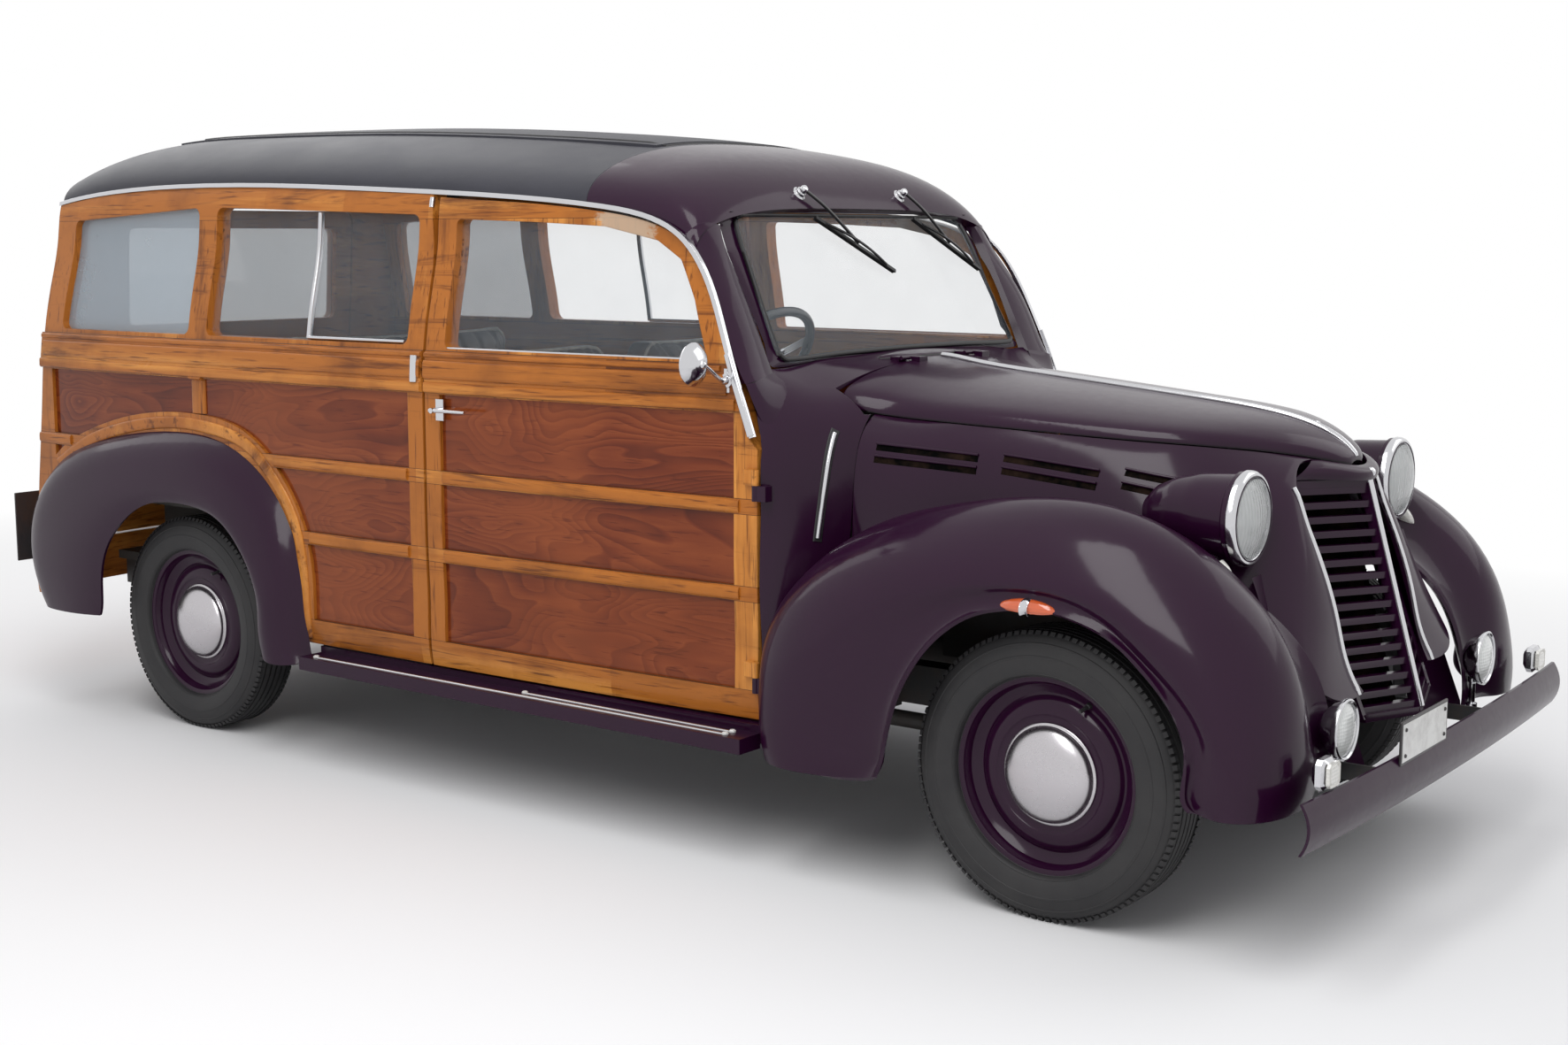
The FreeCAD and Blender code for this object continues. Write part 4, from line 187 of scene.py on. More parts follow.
def grain(look, stretch):
    """Streaks of wood grain and its pores: a streak reaches 1 / stretch along each axis."""
    wavy = look.noise(1.0, 3.0, 0.5, 0.8, toned(stretch, 0.22))
    fine = look.noise(1.0, 8.0, 0.65, 0.4, stretch)
    both = look.scaled(wavy, 0.85, look.math("MULTIPLY", fine, 0.55))
    pores = look.noise(1.0, 2.0, 0.6, stretch=toned(stretch, 4.5))
    return look.math("MULTIPLY", both, 0.72), pores


def framed_grain(look, along_rails, pores):
    """Grain that turns upright in the posts, with its own tone in each member, and the joints' lines."""
    upright, upright_pores = grain(look, UPRIGHT_GRAIN)
    height = look.axis("Z")
    inside, nearest = 0.0, 1.0
    for low, high in RAIL_BANDS:
        away = look.distance(height, (low + high) / 2)
        half = (high - low) / 2
        inside = look.math("MAXIMUM", inside, look.math("LESS_THAN", away, half))
        nearest = look.math("MINIMUM", nearest, look.distance(away, half))
    joint = look.math("LESS_THAN", nearest, JOINT_LINE)
    streaks = look.choose(inside, upright, along_rails)
    pores = look.choose(inside, upright_pores, pores)
    member = look.math("SNAP", look.axis("X"), MEMBER_LENGTH)
    seed = look.node("CombineXYZ", {0: member, 1: look.math("MULTIPLY", inside, 7.7)})
    tone = look.node("TexWhiteNoise", {0: seed.outputs[0]}).outputs["Value"]
    return look.math("ADD", streaks, look.scaled(tone, 0.16, -0.08)), pores, joint


def frame_wood(name, rails=False, stretch=(1.3, 30, 30)):
    """Varnished ash; with rails, upright posts and level rails each have their own grain."""
    dark, middle, light = ASH
    look = Finish(name, middle, 0.30, Coat_Weight=0.30, Coat_Roughness=0.10, Specular_IOR_Level=0.12)
    streaks, pores = grain(look, stretch)
    if rails:
        streaks, pores, joint = framed_grain(look, streaks, pores)
    colour = look.ramp(streaks, (0.26, dark), (0.40, middle), (0.52, middle), (0.66, light))
    colour = look.cover(colour, dark, pores, (0.30, 0.75), (0.42, 0.0))
    if rails:
        colour = look.mix(look.math("MULTIPLY", joint, 0.8), colour, (0.02, 0.007, 0.003))
    patches = look.noise(4.5, 4.0, 0.6)
    colour = look.cover(colour, dark, patches, (0.50, 0.0), (0.72, 0.50))
    stains = look.noise(1.0, 6.0, 0.75, 1.2, toned(stretch, 0.5))
    look.colour(look.cover(colour, dark, stains, (0.56, 0.0), (0.66, 0.75)))
    look.roughness(patches, 0.22, 0.20)
    look.bump(pores, 0.10, 0.4, 4)
    return look


def weathered(look):
    """Pale, lifted varnish where the door's frame turns down to the windscreen."""
    x_away = look.math("DIVIDE", look.distance(look.axis("X"), along(0.585)), 0.16)
    z_away = look.math("DIVIDE", look.distance(look.axis("Z"), level(0.845)), 0.10)
    near = look.math("SUBTRACT", 1.0, look.math("MAXIMUM", x_away, z_away))
    flakes = look.noise(38.0, 8.0, 0.75, 0.6, (1.0, 1.0, 1.8))
    worn = look.math("MULTIPLY", look.math("MAXIMUM", near, 0.0), look.math("ADD", flakes, 0.18))
    before = look.shader.inputs["Base Color"].links[0].from_socket
    look.colour(look.cover(before, (0.47, 0.37, 0.27), worn, (0.30, 0.0), (0.37, 0.75)))
    return look.material


def panel_wood(name):
    """Varnished plywood: the rings of the rotary-cut veneer show as swirling contour lines."""
    dark, middle, light = PLYWOOD
    look = Finish(name, middle, 0.22, Coat_Weight=0.32, Coat_Roughness=0.06, Specular_IOR_Level=0.10)
    field = look.noise(1.0, 2.0, 0.40, 0.45, (1.6, 3.0, 4.9))
    rings = look.math("FRACT", look.math("MULTIPLY", field, 27.0))
    line = look.ramp(rings, (0.0, 0.0), (0.55, 0.35), (0.92, 1.0), (1.0, 0.0))
    fibre, pores = grain(look, (2.2, 34, 34))
    shade = look.scaled(line, 0.20, look.math("MULTIPLY", fibre, 0.74))
    colour = look.ramp(shade, (0.24, light), (0.44, middle), (0.68, dark))
    colour = look.cover(colour, light, look.noise(2.1, 3.0, 0.5, 0.3), (0.42, 0.0), (0.66, 0.55))
    look.colour(look.cover(colour, dark, pores, (0.30, 0.6), (0.40, 0.0)))
    look.roughness(fibre, 0.12, 0.14)
    return look.bump(pores, 0.05, 0.3)


def roof_cloth(name):
    """Coated cloth with a leather grain and slack, cloudy sheen."""
    look = Finish(name, (0.030, 0.029, 0.034), 0.50, Specular_IOR_Level=0.30)
    cloud = look.noise(5.0, 4.0, 0.6)
    look.colour(look.mix(cloud, (0.018, 0.018, 0.025), (0.042, 0.042, 0.054)))
    look.roughness(cloud, 0.2, 0.38)
    cells = look.math("MULTIPLY", look.cells(330.0), 0.9)
    return look.bump(look.math("ADD", cells, look.noise(150.0, 5.0, 0.7)), 0.45, 0.6)


def glass(name, colour, solid, deep):
    """Window glass: a clear sheet with a grey-blue cast; the rear quarter panes get a thicker grey-blue film,
    painted shade for the dim cabin seen through them.
    """
    look = Finish(name, colour, 0.02, Specular_IOR_Level=0.9, IOR=1.52)
    # Alpha rises to solid + deep behind the doors: painted shade on the rear quarter panes.
    rear = look.node("MapRange", {
        "Value": look.axis("X"), "From Min": along(0.03), "From Max": along(0.04), "To Min": solid + deep,
        "To Max": solid,
    }).outputs[0]
    smear = look.noise(6.0, 4.0, 0.6)
    look.tree.links.new(look.scaled(smear, 0.05, rear), look.shader.inputs["Alpha"])
    return look.bump(smear, 0.02, 1)


def rubber(name, tone, roughness, grooves=0.0):
    colour = (tone, tone * 0.95, tone * 1.05)
    look = Finish(name, colour, roughness, Specular_IOR_Level=0.45)
    dust = look.noise(7.0, 5.0, 0.65)
    look.colour(look.cover(colour, toned((2.4, 2.3, 2.3), tone), dust, (0.40, 0.0), (0.75, 0.7)))
    look.roughness(dust, 0.2, roughness - 0.08)
    return look.bump(look.noise(220.0, 4.0, 0.7), 0.18 + grooves, 0.4)


def leather(name, colour):
    """Seat leather with a fine pebble, slight mottling and darker creases."""
    look = Finish(name, colour, 0.46, Specular_IOR_Level=0.45)
    creases = look.noise(26.0, 6.0, 0.65, 0.5)
    look.colour(look.cover(colour, toned(colour, 0.55), creases, (0.36, 0.8), (0.60, 0.0)))
    return look.bump(look.math("ADD", look.cells(240.0), creases), 0.35, 0.7)


def cast(name, colour, roughness, metallic=0.0, gloss=0.5):
    """Rough painted or cast metal with grime."""
    look = Finish(name, colour, roughness, Metallic=metallic, Specular_IOR_Level=gloss)
    grime = look.noise(14.0, 6.0, 0.7)
    rust = tuple(part * 0.6 + 0.012 * weight for part, weight in zip(colour, (2.2, 1.2, 0.8)))
    look.colour(look.cover(colour, rust, grime, (0.45, 0.0), (0.68, 0.8)))
    look.roughness(grime, 0.25, roughness - 0.1)
    return look.bump(look.noise(130.0, 5.0, 0.7), 0.3, 0.8)


def boards(name):
    """Ribbed rubber mat over floor boards."""
    look = Finish(name, (0.035, 0.033, 0.032), 0.65)
    look.colour(look.mix(look.noise(9.0, 5.0, 0.6), (0.022, 0.021, 0.020), (0.075, 0.068, 0.060)))
    return look.bump(look.waves("Y", 700.0), 0.5, 1.2)


def ribbed_glass(name):
    """Headlamp glass with upright flutes."""
    look = Finish(name, (0.84, 0.87, 0.86), 0.06, Specular_IOR_Level=0.8, Coat_Weight=1.0,
                  Coat_Roughness=0.02, Alpha=0.42)
    look.colour(look.mix(look.noise(30.0, 4.0), (0.66, 0.70, 0.69), (0.93, 0.95, 0.94)))
    flutes = look.math("ABSOLUTE", look.waves("Y", 330.0))
    cross = look.math("ABSOLUTE", look.waves("Z", 80.0))
    return look.bump(look.math("ADD", flutes, look.math("MULTIPLY", cross, 0.5)), 0.9, 1.6)


def lens(name, colour):
    look = Finish(name, colour, 0.16, Coat_Weight=1.0, Coat_Roughness=0.04)
    look.colour(look.mix(look.noise(60.0, 4.0), toned(colour, 0.8), colour))
    return look.bump(look.math("ADD", look.waves("Y", 900.0), look.waves("Z", 900.0)), 0.35, 0.6)


# Wood grain: rails that run lengthwise between upright posts, and their colours from dark to light.
RAIL_BANDS = (
    (0.300, 0.3746), *((height - RIB_HEIGHT / 2, height + RIB_HEIGHT / 2) for height in reversed(RIB_LEVELS)),
    (BELT_LOW, BELT_HIGH), (1.408, 1.640),
)
JOINT_LINE = 0.7 * MILLIMETRE
MEMBER_LENGTH = 0.31
UPRIGHT_GRAIN = (26, 26, 1.4)
ASH = (0.095, 0.022, 0.0035), (0.400, 0.128, 0.0165), (0.640, 0.262, 0.050)
PLYWOOD = (0.075, 0.0105, 0.0030), (0.150, 0.0260, 0.0060), (0.270, 0.0640, 0.0150)

PAINT = paint("aubergine_lacquer", (0.0185, 0.0022, 0.0165))
CHROME = metal("chrome_plate", (0.60, 0.60, 0.62), 0.11)
SATIN = metal("satin_plate", (0.52, 0.50, 0.52), 0.25, 0.04)
REFLECTOR = metal("reflector", (0.88, 0.88, 0.86), 0.08)
FRAME_WOOD = frame_wood("varnished_ash", rails=True).material
DOOR_WOOD = weathered(frame_wood("varnished_ash_door", rails=True))
RAIL_WOOD = frame_wood("varnished_ash_rail").material
REAR_WOOD = frame_wood("varnished_ash_rear", stretch=(30, 1.3, 30)).material
ARCH_WOOD = frame_wood("varnished_ash_arch", stretch=(9, 9, 9)).material
POST_WOOD = frame_wood("varnished_ash_post", stretch=UPRIGHT_GRAIN).material
PANEL_WOOD = panel_wood("varnished_plywood")
CLOTH = roof_cloth("coated_cloth")
PIPING = rubber("roof_piping", 0.016, 0.45)
TYRE = rubber("tyre_rubber", 0.014, 0.60, 0.1)
SEAL = rubber("seal_rubber", 0.012, 0.50)
BAKELITE = rubber("black_bakelite", 0.014, 0.22)
# The last 0.40 is the painted shade added to the alpha of the rear quarter panes.
GLASS = glass("window_glass", (0.40, 0.47, 0.53), 0.05, 0.40)
FLUTED = ribbed_glass("fluted_glass")
FROSTED = lens("frosted_glass", (0.80, 0.82, 0.80))
WHITE_LENS = lens("white_lens", (0.78, 0.77, 0.72))
RED_LENS = lens("red_lens", (0.42, 0.015, 0.012))
ORANGE_LENS = lens("orange_lens", (0.62, 0.10, 0.02))
BLACK = cast("chassis_black", (0.016, 0.016, 0.017), 0.50)
IRON = cast("cast_iron", (0.065, 0.062, 0.060), 0.62, 0.3)
HOUSING = cast("dark_housing", (0.030, 0.028, 0.030), 0.35)
PLATE = cast("plate_enamel", (0.70, 0.70, 0.68), 0.32)
# Near-black finish for the vent slots and the sheet behind the grille: painted shade where openings would be
# dark.
PAINTED_SHADE = cast("painted_shade_void", (0.003, 0.003, 0.003), 0.9, gloss=0.0)
IVORY = cast("ivory_enamel", (0.52, 0.48, 0.38), 0.30)
MAT = boards("floor_mat")
LEATHER = leather("seat_leather", (0.070, 0.048, 0.036))
PALE_PIPING = leather("pale_piping", (0.52, 0.48, 0.40))

# Which nodes wear a finish; NAME_ stands for both sides, and the wheels for all four corners.
FINISHED_NODES = (
    (PAINT, "windscreen_frame cowl hood nose front_fenders rear_fenders grille headlamps front_bumper "
            "running_boards dashboard wheel_front_ wheel_rear_"),
    (CHROME, "roof_gutters hood_strip fog_lamps mirror door_handle_"),
    (BLACK, "bumper_irons front_axle knuckle_ rear_axle rear_springs chassis fuel_tank seat_bases "
            "steering_column"),
    (FRAME_WOOD, "body_side_"), (DOOR_WOOD, "door_"), (REAR_WOOD, "rear_frame rear_door"),
    (PANEL_WOOD, "side_panels door_panels_"), (GLASS, "fixed_windows door_window_ rear_window"),
    (CLOTH, "roof_cloth"), (FLUTED, "headlamp_lenses"), (IRON, "exhaust engine"), (MAT, "floor"),
    (LEATHER, "front_seats rear_seat"), (BAKELITE, "steering_wheel"), (HOUSING, "signal_lamps"),
    (RED_LENS, "tail_lamps"), (PLATE, "number_plates"), (TYRE, "tyre_front_ tyre_rear_"),
)
NODE_FINISH = {
    node + side: finish for finish, nodes in FINISHED_NODES for node in nodes.split()
    for side in (("left", "right") if node.endswith("_") else ("",))
}

# The record's material slot that each finish of the scene's own pieces belongs to.
SLOTS = {
    "chrome": (CHROME, SATIN, REFLECTOR), "body_paint": (PAINT,), "tyre": (TYRE, SEAL),
    "ash_wood": (RAIL_WOOD, ARCH_WOOD, POST_WOOD), "mahogany": (PANEL_WOOD,), "roof_fabric": (CLOTH, PIPING),
    "lamp_white": (FROSTED, WHITE_LENS), "lamp_red": (ORANGE_LENS,), "plate_white": (PLATE, HOUSING),
    "chassis_black": (PAINTED_SHADE,), "upholstery": (LEATHER, PALE_PIPING), "dark_plastic": (BAKELITE, IVORY),
}
SLOT_OF_FINISH = {finish.name: slot for slot, finishes in SLOTS.items() for finish in finishes}


def dress_node(name, item):
    """Gives a node its finish and smooth shading that keeps its creases."""
    item.data.materials.clear()
    item.data.materials.append(NODE_FINISH[name])
    if "custom_normal" in item.data.attributes:
        item.data.attributes.remove(item.data.attributes["custom_normal"])
    for polygon in item.data.polygons:
        polygon.use_smooth = True
        polygon.material_index = 0
    weld = item.modifiers.new("weld", "WELD")
    weld.merge_threshold = 0.02 * MILLIMETRE
    crease = item.modifiers.new("crease", "EDGE_SPLIT")
    crease.split_angle = math.radians(28)


for node_name, node_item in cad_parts.items():
    dress_node(node_name, node_item)


# Meshes of the scene's own pieces.
def piece(name, spots, faces, finish, body="root", slot=None, replaces=()):
    """A mesh object in the row's frame, shaded smooth up to a crease angle, that rides on a body."""
    data = bpy.data.meshes.new(name)
    data.from_pydata([tuple(spot) for spot in spots], [], faces)
    data.materials.append(finish)
    data.polygons.foreach_set("use_smooth", [True] * len(data.polygons))
    data.set_sharp_from_angle(angle=math.radians(32))
    item = bpy.data.objects.new(name, data)
    bpy.context.scene.collection.objects.link(item)
    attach(item, body)
    slot = slot or SLOT_OF_FINISH[finish.name]
    if replaces:
        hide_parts(*replaces)
    return item


def quads(rows, columns, closed_rows=False, closed_columns=False, start=0):
    """Faces of a grid of points, rows by columns."""
    faces = []
    for row in range(rows if closed_rows else rows - 1):
        for column in range(columns if closed_columns else columns - 1):
            below, right = (row + 1) % rows, (column + 1) % columns
            corners = (row * columns + column, row * columns + right, below * columns + right,
                       below * columns + column)
            faces.append(tuple(start + corner for corner in corners))
    return faces


class Shape:
    """Points and faces gathered for one mesh."""

    def __init__(self):
        self.spots = []
        self.faces = []

    def add(self, spots, faces):
        start = len(self.spots)
        self.spots += list(spots)
        self.faces += [tuple(start + corner for corner in face) for face in faces]
        return self

    def turned(self, outline, middle, axis, steps=64, closed=False):
        """Revolves (radius, offset) points, in millimetres, about an axis through a point."""
        axis = Vector(axis).normalized()
        side = axis.orthogonal().normalized()
        other = axis.cross(side)
        spots = []
        for step in range(steps):
            turn = math.tau * step / steps
            out = side * math.cos(turn) + other * math.sin(turn)
            spots += [Vector(middle) + (out * radius + axis * offset) * MILLIMETRE
                      for radius, offset in outline]
        return self.add(spots, quads(steps, len(outline), True, closed))

    def swept(self, path, section, closed=False):
        """Sweeps (across, out) points, in millimetres, along a path of (spot, outward) pairs."""
        spots = []
        count = len(path)
        for index, (spot, outward) in enumerate(path):
            before = path[index - 1][0] if index or closed else spot
            after = path[(index + 1) % count][0] if index < count - 1 or closed else spot
            run = (after - before).normalized()
            outward = Vector(outward)
            out = (outward - run * outward.dot(run)).normalized()
            across = out.cross(run)
            spots += [spot + (across * a + out * b) * MILLIMETRE for a, b in section]
        faces = quads(count, len(section), closed, True)
        if not closed:
            size = len(section)
            faces.append(tuple(reversed(range(size))))
            faces.append(tuple((count - 1) * size + corner for corner in range(size)))
        return self.add(spots, faces)

    def brick(self, low, high, edge=0.0):
        """Box with its long edges cut by a bevel."""
        low, high = Vector(low), Vector(high)
        cut = min(edge, (high.y - low.y) / 2.01, (high.z - low.z) / 2.01)
        outline = (
            (low.y + cut, low.z), (high.y - cut, low.z), (high.y, low.z + cut), (high.y, high.z - cut),
            (high.y - cut, high.z), (low.y + cut, high.z), (low.y, high.z - cut), (low.y, low.z + cut),
        )
        spots = []
        for x, shrink in ((low.x, cut), (low.x + cut, 0), (high.x - cut, 0), (high.x, cut)):
            centre_y, centre_z = (low.y + high.y) / 2, (low.z + high.z) / 2
            for y, z in outline:
                towards_y = math.copysign(min(shrink, abs(y - centre_y)), centre_y - y)
                towards_z = math.copysign(min(shrink, abs(z - centre_z)), centre_z - z)
                spots.append(Vector((x, y + towards_y, z + towards_z)))
        faces = quads(4, 8, False, True)
        faces.append(tuple(reversed(range(8))))
        faces.append(tuple(24 + corner for corner in range(8)))
        return self.add(spots, faces)

    def piece(self, name, finish, body="root", **extra):
        return piece(name, self.spots, self.faces, finish, body, **extra)


def round_section(width, height, steps=10):
    """Half-round strip, flat side down, as (across, out) points in millimetres."""
    spots = [(width / 2 * math.cos(math.pi * step / steps), height * math.sin(math.pi * step / steps))
             for step in range(steps + 1)]
    return [(spots[0][0], -height * 0.4)] + spots + [(spots[-1][0], -height * 0.4)]


def tube_section(radius, steps=10):
    return [(radius * math.cos(math.tau * step / steps), radius * math.sin(math.tau * step / steps))
            for step in range(steps)]


class Skin:
    """Surface of some nodes, for finding places on it by casting rays."""

    def __init__(self, *names):
        spots, faces = [], []
        for name in names:
            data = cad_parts[name].data
            start = len(spots)
            spots += [vertex.co.copy() for vertex in data.vertices]
            faces += [[start + corner for corner in polygon.vertices] for polygon in data.polygons]
        self.tree = BVHTree.FromPolygons(spots, faces)

    def cast(self, start, direction):
        spot, normal = self.tree.ray_cast(Vector(start), Vector(direction).normalized())[:2]
        if spot is None:
            return None
        if normal.dot(Vector(direction)) > 0:
            normal = -normal
        return spot, normal

    def side(self, x, z, sign=-1):
        return self.cast((x, sign * 2, z), (0, -sign, 0))

    def top(self, x, y):
        return self.cast((x, y, 3), (0, 0, -1))

    def front(self, y, z):
        return self.cast((4, y, z), (-1, 0, 0))

    def back(self, y, z):
        return self.cast((-4, y, z), (1, 0, 0))


def spread(first, last, count):
    return [first + (last - first) * step / (count - 1) for step in range(count)]


def smooth_line(points, count):
    """Points along a Catmull-Rom line through the given ones, evenly numbered."""
    points = [Vector(point) for point in points]
    spots = []
    for place in spread(0, len(points) - 1, count):
        index = min(int(place), len(points) - 2)
        t = place - index
        before = points[max(index - 1, 0)]
        start, end = points[index], points[index + 1]
        after = points[min(index + 2, len(points) - 1)]
        squared = 2 * before - 5 * start + 4 * end - after
        cubed = 3 * start - before - 3 * end + after
        spots.append(0.5 * (2 * start + (end - before) * t + squared * t * t + cubed * t ** 3))
    return spots


def side_path(skin, points, sign, count):
    """Path on a side of the car through (x, z) points, found on the surface."""
    path = []
    for spot in smooth_line([(x, 0, z) for x, z in points], count):
        hit = skin.side(spot.x, spot.z, sign)
        if hit:
            path.append(hit)
    return path


def extent(name, axis, end):
    """Lowest and highest corner of the solids of a node that lie on one side of the middle."""
    spots = [vertex.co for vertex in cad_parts[name].data.vertices if vertex.co[axis] * end > 0]
    return [Vector([pick(spot[index] for spot in spots) for index in range(3)]) for pick in (min, max)]


# Turned profiles in millimetres: (radius, distance along the axis).
HUB_BARREL = ((0.1, -18), (45, -18), (45, 12))
WHEEL_NUT = ((0.1, -8), (9, -8), (9, 6))
VALVE = ((0.1, 36), (3.5, 36), (4.2, 34), (4.2, 12), (6, 10), (7.5, -4))
HEADLAMP_RIM = (
    (80, -6), (80, 1), (81.5, 3.5), (85, 5.5), (90, 5), (93.5, 2), (95.5, -3), (96, -11), (94.5, -13.5),
    (90, -14),
)
HEADLAMP_BOWL = ((80, -10), (74, -22), (58, -40), (36, -52), (14, -58), (0.1, -58))
BULB = ((0.1, -18), (8, -22), (12, -32), (9, -46), (9, -56))
STRIP_END = ((0.1, 6.2), (5, 5.6), (7.8, 3), (8.2, -1))
GRILLE_CAP = ((0.1, 17), (6, 15.5), (10, 10), (12, 2), (12, -4))
NOSE_LATCH = ((0.1, 20), (5, 18.5), (6.2, 14), (4, 9), (4, -4))
FOG_SHELL = (
    (0.1, -47), (20, -45), (38, -36), (50, -22), (56, -8), (60, -6), (61.8, -1), (61.2, 4), (57.5, 6.2),
    (54, 3), (53, -2),
)
FOG_LENS = ((0.1, 11.8), (12, 11.4), (26, 9.8), (40, 6.6), (50, 2), (54.5, -2))
FOG_STALK = ((0.1, 0), (11, 0), (10.5, -12), (7, -16), (7, -60), (12.5, -62), (12.5, -70), (0.1, -70))
WIPER_HUB = ((0.1, 26), (7, 25), (9.5, 21), (9.5, 12), (12.5, 10), (13.5, 4), (18, 1), (18, -4))
HANDLE_ROSE = ((0.1, 10), (18, 9), (21, 4), (21, -1))
HANDLE_STEM = ((0.1, 34), (7.5, 33), (8.5, 10), (8.5, 8))
WHEEL_BOSS = ((0.1, -30), (24, -30), (27, -10), (34, 4), (36, 12), (30, 19))
HORN_BUTTON = ((31, 14), (31, 20), (27, 24), (16, 28), (0.1, 30))
POINTER_CAP = ((0.1, 5.5), (3.5, 5), (4, 1.5))
DASH_KNOB = ((0.1, 20), (6, 18.5), (8, 14), (6, 9), (3.5, 7), (3.5, -1))
GLOVE_KNOB = ((0.1, 12), (7.5, 10), (8.5, 3), (8.5, -1))
MIRROR_SHELL = (
    (44, -0.6), (45.2, -1.6), (46.8, -1), (47.1, 1.6), (45.5, 3.4), (44, 4.6), (39.5, 10.4), (31, 16.4),
    (20, 21.2), (10, 24), (0.1, 25),
)
MIRROR_PANE = ((0.1, 1), (44, 0.4))
MIRROR_FOOT = ((0.1, 15), (6.5, 14), (8.5, 10), (10, 6), (15.5, 4), (16.5, 1), (16.5, -1))
PLATE_SCREW = ((0.1, 3.6), (3, 3), (4.2, 1), (4.2, -1))
FLOOR_RINGS = ((60000, 0), (9000, 0), (3000, 0), (1, 0))
# Sections to sweep, in millimetres: (across, out).
BLADE = ((1.6, -3), (1.6, 4), (4.5, 5), (4.5, 9), (-4.5, 9), (-4.5, 5), (-1.6, 4), (-1.6, -3))
SPOKE_PLATE = ((18, -3), (18, 3), (-18, 3), (-18, -3))
DIAL_MARK = ((0.5, -0.3), (0.5, 0.4), (-0.5, 0.4), (-0.5, -0.3))
POINTER = ((0.9, -0.4), (0.9, 0.5), (-0.9, 0.5), (-0.9, -0.4))

# Tyre and wheel, in millimetres.
TYRE_RADIUS, TYRE_HALF, RIM_RADIUS = 298, 69, 191
TYRE_WALL = (
    (RIM_RADIUS + 1, 40), (RIM_RADIUS + 12, 47.5), (204, 54.5), (207.5, 60), (209, 61.2), (210.5, 60.6),
    (218, 63.8), (233, 67.6), (244, 68.8), (245, 69.7), (248, 69.7), (249, 68.8), (260, 67.6), (270, 64.5),
    (271.2, 65.2), (273.5, 64.5), (274.5, 62.8), (283, 59), (289, 54.5), (293, 50),
)
GROOVES, GROOVE_DEPTH, GROOVE_HALF, CROWN_DROP = (36, 18, 0, -18, -36), 7, 2.2, 4
LUGS, LUG_OUT, LUG_SIDE, LUG_HALF, LUG_SLANT = 112, 5.2, 50.5, (5.4, 5.5), 0.55
LUG_FACES = ((0, 1, 2, 3), (7, 6, 5, 4), (0, 4, 5, 1), (1, 5, 6, 2), (2, 6, 7, 3), (3, 7, 4, 0))
DISC = (
    (204, 53.5), (203.5, 47), (196, 46.5), (192, 44), (190, 38), (186, 33), (184.5, 25), (180, 21.5),
    (170, 14), (164, 12), (160, 13.5), (156, 19), (150, 24), (140, 27.5), (129, 29), (123, 28.5),
    (120, 26.2), (115, 25.5), (108, 25.5), (100, 24), (60, 20), (0.1, 20),
)
DISC_BACK = (
    (0.1, 8), (100, 8), (150, 12), (160, 2), (179, -6), (183, -30), (190, -44), (203.5, -47), (204, -53.5),
    (199, -54), (184, -48), (178, -30), (174, -5), (156, 8), (150, 16),
)
CAP_EDGE = ((98, 23), (104, 24.5), (105.5, 26.2), (105, 28.5), (102.5, 30), (100, 30.5), (98.5, 33))
CAP_RADIUS, CAP_FOOT, CAP_DOME = 98.5, 33, 31
NUTS, NUT_CIRCLE, VALVE_CIRCLE, VALVE_TURN = 5, 0.066, 0.171, math.radians(62)


def tyre_outline():
    """Section of the tyre from bead to bead: ribs on the wall, grooves in the tread."""
    tread = []
    for middle in GROOVES:
        crown = TYRE_RADIUS - (middle / TYRE_HALF) ** 2 * CROWN_DROP
        low = crown - GROOVE_DEPTH
        tread += [(crown, middle + GROOVE_HALF * 1.3), (low, middle + GROOVE_HALF),
                  (low, middle - GROOVE_HALF), (crown, middle - GROOVE_HALF * 1.3)]
    return [*TYRE_WALL, *tread, *((radius, -offset) for radius, offset in reversed(TYRE_WALL))]


def cap_outline():
    turns = [math.pi / 2 * share for share in spread(0.0, 1.0, 14)]
    dome = [(CAP_RADIUS * math.cos(turn) ** 0.85, CAP_FOOT + CAP_DOME * math.sin(turn))
            for turn in turns[:-1]]
    return [*CAP_EDGE, *dome, (0.1, CAP_FOOT + CAP_DOME)]


